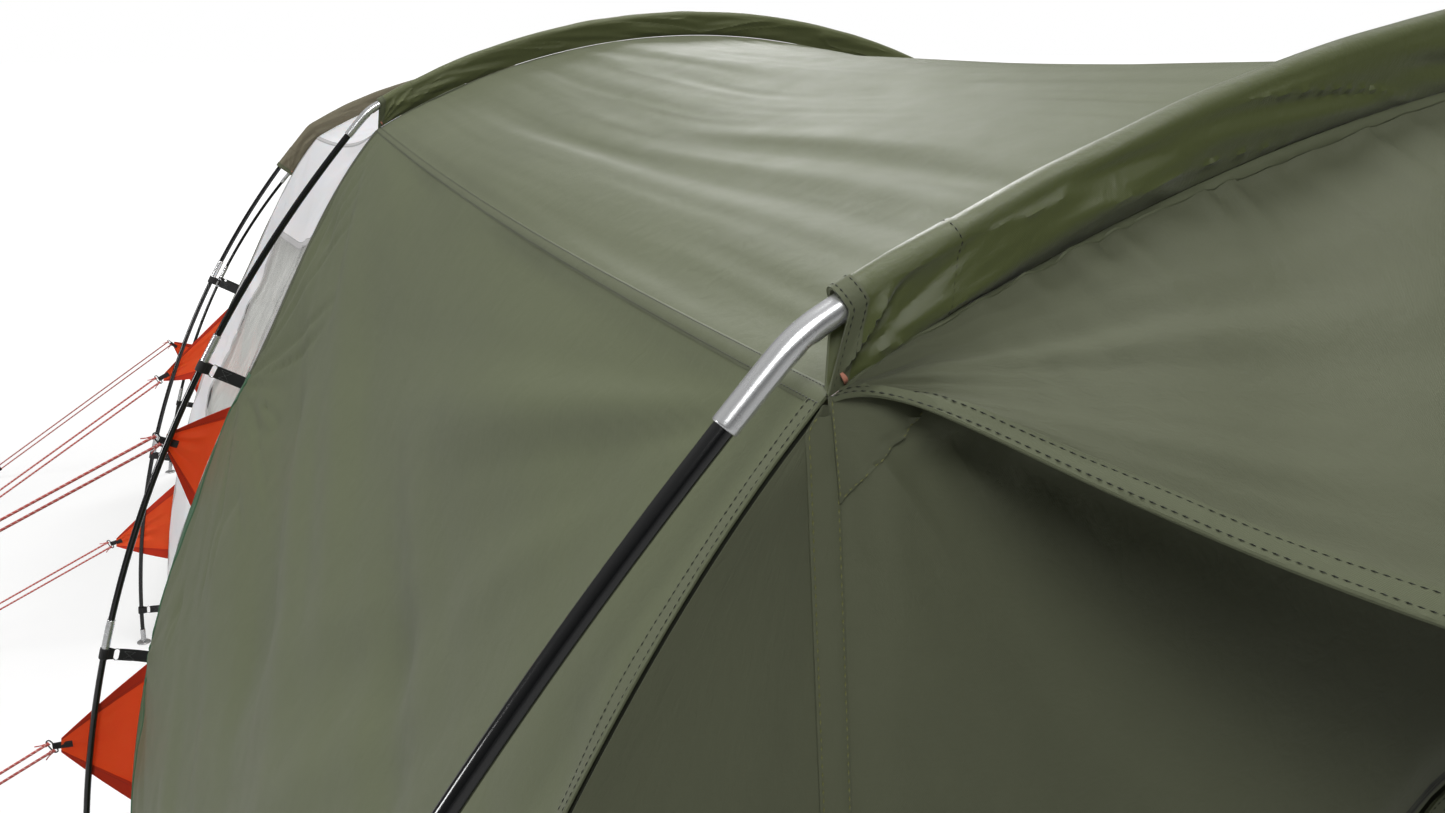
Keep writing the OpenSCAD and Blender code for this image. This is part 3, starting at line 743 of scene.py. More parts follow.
# ---------------------------------------------------------------- hoops
def hoop_line(i, s):
    """Points, outward directions and tangents at length s along hoop i, from its top; + is right."""
    s = np.asarray(s, float)
    side, far = np.where(s < 0, -1.0, 1.0), np.abs(s)
    bend, leg = far > ROOF_LEN, far > BEND_LEN
    a = np.where(leg, EAVE_A + np.degrees((far - BEND_LEN) / LEG_R),
                 np.where(bend, ROOF_A + np.degrees((far - ROOF_LEN) / BEND_R), np.degrees(far / ROOF_R)))
    r = np.where(leg, LEG_R, np.where(bend, BEND_R, ROOF_R))
    h = HOOP_H[i]
    cx = np.where(leg, LEG_CX, np.where(bend, (ROOF_R - BEND_R) * sin_d(ROOF_A), 0))
    cz = np.where(leg, leg_cz(h), h - ROOF_R + np.where(bend, (ROOF_R - BEND_R) * cos_d(ROOF_A), 0))
    p = vec(side * (cx + r * sin_d(a)), HOOP_Y[i], cz + r * cos_d(a))
    out = vec(side * sin_d(a), 0, cos_d(a))
    return p, out, vec(cos_d(a), 0, -side * sin_d(a))


def leg_s(a):
    """Length along a hoop to the angle a on its leg."""
    return BEND_LEN + math.radians(a - EAVE_A) * LEG_R


def hoop_tube(build, i, s, radius, sides=28):
    """A round rod along hoop i; radius may change along it and round it."""
    p, out, _ = hoop_line(i, s)
    phi = circle(sides)[None, :, None]
    radius = np.asarray(radius, float)
    if radius.ndim < 2:
        radius = radius[:, None]
    ring = np.cos(phi) * out[:, None] + np.sin(phi) * Y_DIR
    loft(build, p[:, None] + radius[..., None] * ring)


for i in HOOPS:
    foot_a = float(angle_at_z(HOOP_H[i], POLE_FOOT_Z, LEG_R))
    joints = [a for a in LEG_JOINTS if a < foot_a - 2]
    stops = [leg_s(EAVE_A + 0.15)] + [leg_s(a) for a in joints] + [leg_s(foot_a)]
    spans = [(0.0005, ROOF_LEN - 0.007)] + list(zip(stops[:-1], stops[1:]))
    poles, fittings = Build(), Build()
    for side in SIDES:
        for low, high in spans:
            s, r = lipped(low + 0.0006, high - 0.0006, POLE_R, 0.0042, 26)
            hoop_tube(poles, i, side * s, r)
        low, high = ROOF_LEN - math.radians(2.5) * ROOF_R, leg_s(EAVE_A + 1.0)
        s, r = lipped(low, high, FERRULE_R, POLE_R + 0.0001, 60)
        middle = (ROOF_LEN + BEND_LEN) / 2
        phi = circle(40)
        inner_side = np.maximum(-np.cos(phi), 0)[None, :] ** 3
        bump = lambda width: np.exp(-((s - middle) / width) ** 2)[:, None]
        pinch, ripple = bump(0.0045) * inner_side * 0.00176, bump(0.0105) * inner_side * 0.0009
        flat = bump(0.016) * np.abs(np.sin(phi))[None, :] ** 6 * 0.0004
        hoop_tube(fittings, i, side * s, r[:, None] + ripple - pinch + flat, 40)
        for a in joints:
            s, r = lipped(leg_s(a - 0.75), leg_s(a + 0.75), FERRULE_R, POLE_R + 0.0001, 14)
            for mark in (leg_s(a - 0.6), leg_s(a + 0.6)):
                r = r - 0.00045 * np.exp(-((s - mark) / 0.0016) ** 2)
            hoop_tube(fittings, i, side * s, r)
        s, r = lipped(leg_s(foot_a - 0.9), leg_s(foot_a) - 0.0002, FERRULE_R, POLE_R - 0.002, 10)
        hoop_tube(fittings, i, side * s, r)
    s, r = lipped(-0.0336, 0.0336, FERRULE_R, POLE_R + 0.0001, 14)
    hoop_tube(fittings, i, s, r)
    poles.piece(f"pole_segments_{i + 1}", MAT["pole"], "tent", "pole_fibreglass", [f"poles_hoop_{i + 1}"])
    fittings.piece(f"ferrules_{i + 1}", MAT["steel"], "tent", "ferrule_metal", [f"fittings_hoop_{i + 1}"], 50)


# ---------------------------------------------------------------- skin surfaces, as part.scad draws them
def roof_pt(h, v, inset=0.0):
    """Across and up on the roof at a hoop of height h; v runs from -1 to 1 between its corners."""
    a = v * CORNER_A
    r = SKIN_R - inset
    return r * sin_d(a), h - ROOF_R + r * cos_d(a)


def side_pt(h, t, inset=0.0):
    """The same on the right side wall; t runs from 0 at the eave to 1 at the ground."""
    foot = angle_at_z(h, SKIN_FOOT_Z, LEG_R - LEG_GAP)
    a = mix(EAVE_A, foot, t)
    r = LEG_R - mix(CORNER_GAP, LEG_GAP, ease((a - EAVE_A) / 12)) - inset
    return LEG_CX + r * sin_d(a), leg_cz(h) + r * cos_d(a)


def bay_h(i, u):
    return mix(HOOP_H[i], HOOP_H[i + 1], u)


def bay_y(i, u):
    return mix(HOOP_Y[i] + EDGE, HOOP_Y[i + 1] - EDGE, u)


def bay_len(i):
    return HOOP_Y[i + 1] - HOOP_Y[i]


def side_len(h):
    return math.radians(float(angle_at_z(h, SKIN_FOOT_Z, LEG_R - LEG_GAP)) - EAVE_A) * (LEG_R - LEG_GAP)


def roof_skin(i):
    """Roof of bay i; v runs from -1 at the left eave to 1 at the right."""
    length = bay_len(i)

    def where(u, v):
        x, z = roof_pt(bay_h(i, u), v, ROOF_SAG * hump(u))
        return vec(x, bay_y(i, u), z)

    def dents(u, v):
        s, near = v * ROOF_HALF, u * length
        far = length - near
        pull = np.exp(-near / 0.7) + 0.35 * np.exp(-far / 0.6)
        warp = s + 0.016 * noise(near / 0.5, s / 0.2, 3)
        folds = noise(warp / 0.036, near / 0.75, 1 + i) * 0.0042
        folds = folds + noise(warp / 0.014, near / 0.45, 2 + i) * 0.0009
        broad = noise(s / 0.15, near / 0.9, 6 + i) * 0.009
        hold = ease(near / 0.035) * ease(far / 0.035) * ease((1 - np.abs(v)) * ROOF_HALF / 0.03)
        return hold * (folds * (0.55 + 0.75 * pull) + broad * arch(u))

    return Skin(where, dents, -1)


def fan(y, down, reach, size, seed, spread=0.13):
    """Folds that spread out from a point of strain."""
    r, theta = np.hypot(y, down), np.arctan2(down, y)
    return size * noise(theta / spread, r / 0.5, seed) * r * np.exp(-r / reach) * ease((1.25 - theta) / 0.6)


FOLD_TILT = 17


def side_skin(i, side):
    """Side wall of bay i; v runs from 0 at the eave to 1 at the ground."""
    length = bay_len(i)

    def where(u, v):
        h = bay_h(i, u)
        ex, ez = roof_pt(h, 1, ROOF_SAG * hump(u))
        sx, sz = side_pt(h, 0)
        px, pz = side_pt(h, v, SIDE_SAG * hump(u) * sin_d(180 * np.clip(v, 0, 1)))
        back = (1 - v) ** 2
        return vec(side * (px + (ex - sx) * back), bay_y(i, u), pz + (ez - sz) * back)

    def dents(u, v):
        down = v * side_len(HOOP_H[i])
        near = u * length
        far = length - near
        d = fan(near, down, 0.60, 0.056, 11 + i, 0.12) + fan(far, down, 0.45, 0.036, 14 + i, 0.14)
        strap_at = [math.radians(a - EAVE_A) * (LEG_R - LEG_GAP) for a in STRAP_AS]
        for n, at in enumerate(strap_at):
            for k, gap in enumerate((near, far)):
                r, theta = np.hypot(gap, down - at), np.arctan2(down - at, gap)
                pucker = noise(theta / 0.16, r / 0.3, 20 + 3 * n + k + i)
                d = d + 0.0048 * pucker * np.exp(-r / 0.20) * ease(r / 0.05)
        r, theta = np.hypot(far, down - strap_at[0]), np.arctan2(down - strap_at[0], far)
        crease = (1 - np.abs(noise(theta / 0.13, r / 0.4, 25 + i))) ** 7
        d = d - 0.008 * crease * hump(np.clip(r / 0.55, 0, 1))
        along = near * cos_d(FOLD_TILT) - down * sin_d(FOLD_TILT)
        across = near * sin_d(FOLD_TILT) + down * cos_d(FOLD_TILT)
        d = d + noise(across / 0.075, along / 0.55, 31 + i) * 0.0095 * ease(down / 0.35)
        d = d + noise(across / 0.24, along / 0.6, 41 + i) * 0.020 * arch(u)
        d = d + noise(near / 0.020, down / 0.9, 51 + i) * 0.0007 * np.exp(-near / 0.05)
        hold = ease(near / 0.03) * ease(far / 0.03) * ease(down / 0.03) * ease((1 - v) / 0.02)
        return hold * d * (1 if i == 0 else 0.6)

    return Skin(where, dents, -side)


BAYS = ("front", "middle", "rear")
EAVE_BAND = 0.007
BAND_STEPS = EAVE_BAND * np.array([-1, -0.85, -0.5, 0, 0.5, 0.85, 1])
thread, thread_light, thread_grey = Build(), Build(), Build()
hems, grey_hems = Build(), Build()


def eave_place(i, side, roof, wall):
    """Band along an eave: a along the bay, b from -width on the roof to +width on the side wall."""
    long = side_len(HOOP_H[i])

    def place(a, b):
        on_roof = b < 0
        v = side * (1 + np.minimum(b, 0) / ROOF_HALF)
        pr, nr = roof.both(a, v)
        ps, ns = wall.both(a, np.maximum(b, 0) / long)
        n = unit(np.where(np.abs(b)[..., None] < 0.001, nr + ns, np.where(on_roof[..., None], nr, ns)))
        return np.where(on_roof[..., None], pr, ps), n

    return place


def pale_line(u):
    """Where the middle roof ends and its pale cheeks begin, as a share of the way to the eave."""
    return 1 - 0.34 * ease(u * 1.15) ** 0.8


roofs = [roof_skin(i) for i in range(3)]
walls = {(i, side): side_skin(i, side) for i in range(3) for side in SIDES}
for i, bay in enumerate(BAYS):
    build = Build()
    us = np.linspace(0, 1, 130 if i == 0 else 90)
    vs = np.linspace(-1, 1, 250 if i == 0 else 170)
    if i == 1:
        for side, word in LEFT_RIGHT:
            upper = Build()
            u, q = np.meshgrid(us, np.linspace(0, 1, 40), indexing="ij")
            p, n = roofs[1].both(u, side * mix(pale_line(u), 1, q))
            slab(upper, p, p - n * CLOTH)
            cheek = upper.piece(f"roof_cheek_{word}", MAT["grey"], "tent", "wall_grey")
        u, q = np.meshgrid(us, np.linspace(-1, 1, 130), indexing="ij")
        p, n = roofs[1].both(u, q * pale_line(u))
        slab(build, p, p - n * CLOTH)
    else:
        panel(build, roofs[i], us, vs)
    roof = build.piece(f"roof_panel_{bay}", MAT["roof"], "tent", "roof_green", [f"roof_{bay}"])
    for side, word in LEFT_RIGHT:
        if i != 1:
            build = Build()
            along, down = (190, 220) if i == 0 else (90, 90)
            panel(build, walls[i, side], np.linspace(0, 1, along), np.linspace(0, 1, down))
            name, node = f"side_panel_{bay}_{word}", f"side_{bay}_{word}"
            wall = build.piece(name, MAT["wall"], "tent", "wall_green", [node])
        place = eave_place(i, side, roofs[i], walls[i, side])
        run = np.linspace(0, 1, 320 if i == 0 else 160)
        target, row = (grey_hems, thread_grey) if i == 1 else (hems, thread)
        strip(target, place, run, BAND_STEPS, [0.0001, 0.0006, 0.0008, 0.0007, 0.0008, 0.0006, 0.0001])
        seam_rows(row, place, run, (-0.7 * EAVE_BAND, 0.7 * EAVE_BAND), 0.0012)

# ---------------------------------------------------------------- pole sleeves
SLEEVE_R = 0.0102
RING_SIDES = 48
CAP_SHARE = 0.46
SLEEVE_END = [math.radians(MOUTH_A) * ROOF_R] * 4
SLEEVE_END[2] = BEND_LEN + 0.15


def skin_edge(i, s):
    """The skin's edge across from length s of hoop i."""
    far = np.abs(s)
    rx, rz = roof_pt(HOOP_H[i], np.minimum(far / math.radians(MOUTH_A) / ROOF_R, 1))
    a = EAVE_A + np.degrees(np.maximum(far - BEND_LEN, 0) / LEG_R)
    r = LEG_R - mix(CORNER_GAP, LEG_GAP, ease((a - EAVE_A) / 12))
    r0 = LEG_R - CORNER_GAP
    fade = 1 - ease((far - BEND_LEN) / 0.1)
    cz = leg_cz(HOOP_H[i])
    x = LEG_CX + r * sin_d(a) + (CORNER_X - LEG_CX - r0 * sin_d(EAVE_A)) * fade
    z = cz + r * cos_d(a) + (HOOP_H[i] - CORNER_DROP - cz - r0 * cos_d(EAVE_A)) * fade
    low = far > BEND_LEN
    return np.where(s < 0, -1, 1) * np.where(low, x, rx), np.where(low, z, rz)


def sleeve_rings(i, sigma, lift=0.0):
    """Teardrop rings round a pole; sigma runs from -1 to 1 between the sleeve's mouths."""
    sigma = np.asarray(sigma, float)
    top, out, along = hoop_line(i, sigma * SLEEVE_END[i])
    bx, bz = skin_edge(i, sigma * SLEEVE_END[i])
    drop = vec(bx, HOOP_Y[i], bz) - top
    depth = -(drop * out).sum(-1)
    shear = (drop * along).sum(-1)
    radius = SLEEVE_R + lift
    turn = math.pi / 2 + math.asin(radius / FIN_H)
    w = np.linspace(-1, 1, RING_SIDES, endpoint=False)
    w, sign = np.abs(w), np.where(w < 0, -1.0, 1.0)
    cap = w < CAP_SHARE
    phi = w / CAP_SHARE * turn
    fall = np.clip((w - CAP_SHARE) / (1 - CAP_SHARE), 0, 1)
    across = np.where(cap, radius * np.sin(phi), mix(radius * math.sin(turn), 0.0012 + lift, fall))
    s = (sigma * SLEEVE_END[i])[:, None]
    skirt = mix(radius * math.cos(turn), -depth[:, None] + 0.0008, fall[None, :])
    up = np.where(cap[None, :], radius * np.cos(phi)[None, :], skirt)
    down = np.clip(-up / FIN_H, 0, 1)
    slant = down * FIN_H + np.sign(s) * s * 0.16 * np.where(sign < 0, 1, -1)[None, :]
    puff = noise(slant / 0.0105, s / 0.085 + 3 * sign[None, :], 60 + i) * 0.0050
    puff = puff * np.sin(np.pi * np.clip(down * 1.02, 0, 1)) ** 0.8
    puff = puff + noise(s / 0.016, down / 0.5, 70 + i) * 0.0016 * down ** 2 * (1 - down)
    crease = (1 - np.abs(noise(slant / 0.012 + 9, s / 0.11 - 4 * sign[None, :], 75 + i))) ** 9
    puff = puff + crease * 0.0036 * np.sin(np.pi * down) ** 0.6
    to_end = (1 - np.abs(sigma[:, None])) * SLEEVE_END[i]
    off = (1 - down) * FIN_H * 1.6
    fan_r, fan_a = np.hypot(to_end, off), np.arctan2(off, to_end + 1e-6)
    gathers = noise(fan_a / 0.17, fan_r / 0.5 + 2 * sign[None, :], 66 + i) * 0.0105
    puff = puff + gathers * np.exp(-fan_r / 0.24) * np.sin(np.pi * down) ** 0.7
    ends = ease(to_end / 0.03)
    belly = 0.0022 * np.sin(np.pi * down) * ends
    side = (across[None, :] + (belly + ends * puff)) * sign[None, :]
    loose = noise(s / 0.05, phi[None, :] / 1.2, 80 + i) * 0.0011 * cap[None, :]
    up = up + loose * np.cos(phi)[None, :]
    lean = shear[:, None] * down
    return (top[:, None] + up[..., None] * out[:, None] + lean[..., None] * along[:, None]
            + side[..., None] * Y_DIR)


def sleeve_shell(build, i, sigma, lift, thick=0.0007):
    """A length of sleeve cloth, lifted off the sleeve itself where it is a second layer."""
    outer, inner = sleeve_rings(i, sigma, lift), sleeve_rings(i, sigma, lift - thick)
    along = sigma * SLEEVE_END[i]
    around = np.linspace(0, 0.11, RING_SIDES + 1)
    shell_loft(build, outer, inner, vec(along[:, None], around[None, :]))


HEM_W, CUFF_W = 0.012, 0.074
for i in HOOPS:
    full = SLEEVE_END[i]
    build = Build()
    sleeve_shell(build, i, np.linspace(-1, 1, 480 if i == 0 else 300), 0.0)
    cloth = MAT[("sleeve", "sleeve_mid", "sleeve_rear", "sleeve_rear")[i]]
    sleeve = build.piece(f"pole_sleeve_{i + 1}", cloth, "tent", "sleeve_fabric", [f"sleeve_hoop_{i + 1}"])
    cuffs, mouths = Build(), Build()
    for side in SIDES:
        sleeve_shell(cuffs, i, side * np.linspace(1 - CUFF_W / full, 1.0003, 26), 0.0008)
        sleeve_shell(mouths, i, side * np.linspace(1 - HEM_W / full, 1.0006, 8), 0.0017)
        for inset, lift in ((0.0022, 0.0017), (HEM_W - 0.0018, 0.0017), (CUFF_W - 0.003, 0.0008)):
            sigma = np.array([side * (1 - inset / full)])
            ring = sleeve_rings(i, sigma, lift)[0]
            for half in (slice(1, RING_SIDES // 2), slice(RING_SIDES // 2, RING_SIDES)):
                row = ring[half]
                stitches(thread, row, row - hoop_line(i, sigma * full)[0][0], pitch=0.0042)
    cuffs.piece(f"sleeve_cuffs_{i + 1}", cloth, "tent", "sleeve_fabric")
    mouths.piece(f"sleeve_mouths_{i + 1}", MAT["hem"], "tent", "sleeve_fabric")

# small red tabs sewn in at the lower end of each sleeve
tabs = Build()
for i in HOOPS[:3]:
    for side in SIDES:
        at = side * (1 - 0.011 / SLEEVE_END[i])
        foot = sleeve_rings(i, np.array([at]))[0, 0]
        _, out, along = hoop_line(i, at * SLEEVE_END[i])
        a = np.linspace(-0.5, 0.5, 5)[:, None, None]
        b = np.linspace(0, 1, 7)[None, :, None]
        p = foot + 0.0026 * a * np.sin(np.pi * (0.12 + 0.76 * b)) * along + (0.009 * b + 0.001) * out
        p = p - (0.0022 + 0.004 * np.sin(np.pi * b)) * Y_DIR
        slab(tabs, p, p + 0.0012 * Y_DIR)
tabs.piece("sleeve_tabs", MAT["tab"], "tent", "flap_red")

# ---------------------------------------------------------------- visor
VISOR_K = 0.9985


def visor_where(u, k):
    """u runs from the roof seam to the hem, k from the left corner to the right."""
    h = HOOP_H[0]
    tx, tz = roof_pt(h, 0.99 * k)
    room = np.clip(1 - k * k, 0, 1)
    lift = 0.0145 * (room / 0.1) * np.exp(1 - room / 0.1)
    hem = vec(CORNER_X * k, -VISOR_REACH * room - 0.005 * (1 - room), h - 0.2130 - 0.138 * room**1.1 + lift)
    start = vec(tx, -0.0028, tz)
    rise = 0.014 * hump(u) * room
    p = start + (hem - start) * u[..., None] + vec(0, -0.3 * rise, rise)
    return p + np.array([0, HOOP_Y[0], 0])


def visor_dents(u, k):
    room = np.clip(1 - k * k, 0, 1)
    s = k * 0.70
    deep = u * (0.30 * room + 0.02)
    to_corner = (1 - np.abs(k)) * CORNER_X
    pucker = noise((s + 0.3 * deep * np.sign(k)) / 0.010, deep / 0.05, 90) * 0.0050
    pucker = pucker * np.exp(-deep / 0.032) * ease(deep / 0.005)
    pucker = pucker * (0.35 + 0.65 * np.abs(noise(s / 0.07, 3.3, 96)))
    pull = noise(u / 0.085, to_corner / 0.25, 91 + np.where(k < 0, 0, 1)) * 0.0095
    pull = pull * np.exp(-to_corner / 0.20) * ease(to_corner / 0.04)
    cross = noise((s * 0.9 + deep) / 0.085, (s - deep) / 0.5, 93) * 0.0110
    broad = noise(s / 0.30, deep / 0.30, 94) * 0.010
    hold = ease(u / 0.03) * ease((1 - u) / 0.10 + 0.25) * ease(room / 0.06)
    return hold * (pucker + pull + cross * room + broad * room)


visor_skin = Skin(visor_where, visor_dents, 1)
build = Build()
panel(build, visor_skin, np.linspace(0, 1, 90), np.linspace(-VISOR_K, VISOR_K, 330))
visor = build.piece("visor_hood", MAT["visor"], "tent", "visor_green", ["visor"])


def visor_edge(from_hem):
    """Bands along the visor: a across it, b in metres from the hem or from the roof seam."""
    def place(a, b):
        k = mix(-VISOR_K, VISOR_K, a)
        room = np.clip(1 - k * k, 0.02, 1)
        deep = 0.30 * room + 0.02
        u = 1 - b / deep if from_hem else b / deep
        return visor_skin.both(np.clip(u, -0.01, 1.01), k)
    return place


visor_bands = Build()
run = np.linspace(0.0, 1, 420)
strip(visor_bands, visor_edge(True), run, [-0.0006, 0.0004, 0.003, 0.008, 0.0125, 0.0150, 0.0156],
      [0.0006, 0.0014, 0.0011, 0.0016, 0.0011, 0.0013, 0.0001], 0.0016)
strip(visor_bands, visor_edge(False), run, [0.0, 0.0008, 0.002, 0.0034, 0.0038],
      [0.0010, 0.0015, 0.0014, 0.0010, 0.0001])
seam_rows(thread, visor_edge(True), run, (0.0034, 0.0125), 0.0013, pitch=0.0052, length=0.0038)
visor_bands.piece("visor_hem", MAT["hem"], "tent", "visor_green")

# ---------------------------------------------------------------- front end wall, gussets and door
WALL_DIR = np.array([0, sin_d(FRONT_SLOPE), cos_d(FRONT_SLOPE)])
WALL_OUT = np.array([0, -cos_d(FRONT_SLOPE), sin_d(FRONT_SLOPE)])
WALL_FOOT = np.array([0, HOOP_Y[0] - CORNER_Z * math.tan(math.radians(FRONT_SLOPE)), 0])
WALL_LEN = CORNER_Z / cos_d(FRONT_SLOPE)
WALL_LIFT = SKIN_FOOT_Z / cos_d(FRONT_SLOPE)
WALL_FACE = 0.003
WALL_CENTRE = np.array([0, 0.85])


def on_wall(x, up, lift):
    """Points of the front wall's plane, from places across and up it."""
    x, up, out = (np.asarray(w, float)[..., None] for w in (x, up, WALL_FACE + lift))
    return WALL_FOOT + x * np.array([1.0, 0, 0]) + up * WALL_DIR + out * WALL_OUT


def flat_on_wall(q, lift):
    return on_wall(q[..., 0], q[..., 1], lift)


def doorway(w, low, high, steps=9):
    """Outline of a doorway with rounded upper corners, counterclockwise from its lower right corner."""
    r = DOOR_ROUND
    a = np.radians(np.linspace(0, 90, steps))
    right = vec(w / 2 - r + r * np.cos(a), high - r + r * np.sin(a))
    left = vec(-(w / 2 - r) - r * np.sin(a), high - r + r * np.cos(a))
    return np.concatenate([[[w / 2, low]], right, left, [[-w / 2, low]]])


def wall_outline():
    x = np.linspace(CORNER_X - 0.0125, -CORNER_X + 0.0125, 41)
    top = WALL_LEN + CORNER_DROP - ROOF_R + np.sqrt((SKIN_R - 0.012) ** 2 - x**2)
    right = [[CORNER_X, WALL_LIFT], [CORNER_X, WALL_LEN]]
    left = [[-CORNER_X, WALL_LEN], [-CORNER_X, WALL_LIFT]]
    return np.concatenate([right, vec(x, top), left])


def wall_dents(x, up):
    to_seam, below = CORNER_X - np.abs(x), WALL_LEN - up
    r, theta = np.hypot(to_seam, below), np.arctan2(to_seam, below)
    d = noise(theta / 0.14, r / 0.5, 101 + (x > 0)) * 0.0100 * np.exp(-r / 0.40) * ease(r / 0.06)
    seam = noise(below / 0.022 + 12 * to_seam, to_seam / 0.06, 103) * 0.0022
    d = d + seam * np.exp(-to_seam / 0.05) * ease(to_seam / 0.012)
    d = d + noise((x + 0.15 * up) / 0.13, up / 0.7, 104) * 0.0070
    d = d + noise(x / 0.4, up / 0.5, 105) * 0.010
    hold = ease(to_seam / 0.03) * ease((up - WALL_LIFT) / 0.03) * ease((WALL_LEN + 0.20 - up) / 0.06)
    return d * hold


door_outline = doorway(DOOR_W, DOOR_SILL, DOOR_SILL + DOOR_H)
angles = ray_angles(WALL_CENTRE, 420, np.concatenate([door_outline, wall_outline()]))
door_hole = at_angles(door_outline, WALL_CENTRE, angles)


def front_face(q, lift):
    near_hole = np.linalg.norm(q - door_hole, axis=-1)
    return flat_on_wall(q, wall_dents(q[..., 0], q[..., 1]) * ease(near_hole / 0.05) + lift)


build = Build()
holed_sheet(build, door_hole, at_angles(wall_outline(), WALL_CENTRE, angles), front_face, 60)
front = build.piece("front_wall_panel", MAT["end"], "tent", "wall_green", ["front_wall"])


def gusset_where(side):
    def where(u, v):
        t = 0.001 + 0.999 * v
        ex, ez = side_pt(HOOP_H[0], t, 0.002)
        back = -(CORNER_Z - ez) * math.tan(math.radians(FRONT_SLOPE)) - WALL_FACE
        near = vec(CORNER_X, np.minimum(back, -0.0025), ez)
        far = vec(np.maximum(ex, CORNER_X + 0.003), -0.0025, ez)
        p = near + (far - near) * u[..., None]
        return p * np.array([side, 1.0, 1]) + np.array([0, HOOP_Y[0], 0])
    return where


def gusset_dents(u, v):
    wide = np.clip(v, 0, 1) * 0.63
    d = noise(u / 0.30, v / 0.5, 111) * 0.006 * ease(v / 0.1) + noise(u * wide / 0.05, v / 0.6, 112) * 0.0022
    return d * ease(u * wide / 0.02) * ease((1 - u) * wide / 0.02) * ease((1 - v) / 0.02) * ease(v / 0.05)


gussets = {}
for side, word in LEFT_RIGHT:
    gussets[side] = Skin(gusset_where(side), gusset_dents, -side)
    build = Build()
    panel(build, gussets[side], np.linspace(0, 1, 60), np.linspace(0, 1, 110))
    piece = build.piece(f"front_gusset_{word}", MAT["end"], "tent", "wall_green", ["front_gussets"])


def gusset_width(side, a):
    where = gussets[side].where
    return np.linalg.norm(where(np.ones_like(a), a) - where(np.zeros_like(a), a), axis=-1)


def end_seam(side):
    """Band over the seam of wall and gusset: a from the corner to the ground, b + on the gusset."""
    def place(a, b):
        ez = side_pt(HOOP_H[0], 0.001 + 0.999 * a)[1]
        pw = on_wall(side * (CORNER_X + np.minimum(b, 0)), ez / cos_d(FRONT_SLOPE), 0.0)
        wide = np.maximum(gusset_width(side, a), 0.004)
        pg, ng = gussets[side].both(np.clip(np.maximum(b, 0) / wide, 0, 1), a)
        on = (b > 0)[..., None]
        return np.where(on, pg, pw), unit(np.where(on, ng, WALL_OUT))
    return place


def corner_patch(build, side):
    """Triangular patch that spreads the corner's pull into the wall."""
    corner = np.array([CORNER_X, WALL_LEN + 0.001])
    level = np.array([CORNER_X - 0.052, WALL_LEN - 0.002])
    point = np.array([CORNER_X - 0.003, WALL_LEN - 0.056])

    def dented(q, lift):
        x, up = side * q[..., 0], q[..., 1]
        return on_wall(x, up, wall_dents(x, up) + lift)

    a, b = np.linspace(0, 1, 12)[:, None, None], np.linspace(0, 1, 12)[None, :, None]
    q = corner + (level - corner) * a * (1 - 0.999 * b) + (point - corner) * b
    base = dented(q, 0.0)
    slab(build, base + WALL_OUT * 0.0026, base - WALL_OUT * 0.0010)
    middle = corner * 0.4 + level * 0.3 + point * 0.3
    for start, stop in ((level, point), (corner, point)):
        line = mix(start, stop, np.linspace(0.02, 0.98, 20)[:, None])
        stitches(thread_light, dented(mix(line, middle, 0.04), 0.0026), WALL_OUT, pitch=0.0040)


end_bands = Build()
run = np.linspace(0.004, 1, 380)
for side in SIDES:
    place = end_seam(side)
    strip(end_bands, place, run, [-0.0050, -0.0044, -0.002, 0.002, 0.007, 0.0130, 0.0136],
          [0.0001, 0.0010, 0.0013, 0.0013, 0.0011, 0.0010, 0.0001])
    seam_rows(thread_light, place, run, (-0.0030, 0.0112), 0.0013, pitch=0.0050, length=0.0038)
    corner_patch(end_bands, side)
end_bands.piece("end_seam_bands", MAT["end"], "tent", "wall_green")

# dark strip, in the thread's colour, that closes the gap between each gusset and the side wall: painted shade
# along the seam
gusset_seam_shade_strip = Build()
a = np.linspace(0.003, 0.998, 240)
for side in SIDES:
    inset = np.minimum(0.008 / np.maximum(gusset_width(side, a), 0.001), 0.6)
    one, n1 = gussets[side].both(1 - inset, a)
    two, n2 = walls[0, side].both(np.full_like(a, 0.006 / bay_len(0)), a)
    one, two, normal = one - 0.0020 * n1, two - 0.0020 * n2, unit(n1 + n2)
    rows = np.stack([one, (one + two) / 2 - 0.0006 * normal, two], axis=1)
    slab(gusset_seam_shade_strip, rows, rows - 0.0006 * normal[:, None])
gusset_seam_shade_strip.piece("gusset_seam_shade_strip", MAT["thread"], "tent", "wall_green")


# ---------------------------------------------------------------- hems beside the hoops
def wall_edge(i, side, far):
    """Band beside a hoop: a from the eave to the ground, b in metres from the panel's edge."""
    length = bay_len(i)
    return lambda a, b: walls[i, side].both(1 - b / length if far else b / length, a)


run = np.linspace(0.002, 0.999, 400)
for side in SIDES:
    for i in range(3):
        target, row = (grey_hems, thread_grey) if i == 1 else (hems, thread)
        for far, width in ((False, 0.016), (True, 0.020)):
            place = wall_edge(i, side, far)
            across = [-0.0004, 0.0008, 0.004, 0.5 * width, width - 0.004, width - 0.001, width]
            strip(target, place, run, across, [0.0004, 0.0012, 0.0009, 0.0012, 0.0009, 0.0011, 0.0001])
            seam_rows(row, place, run, (0.0026, width - 0.0030), 0.0011)

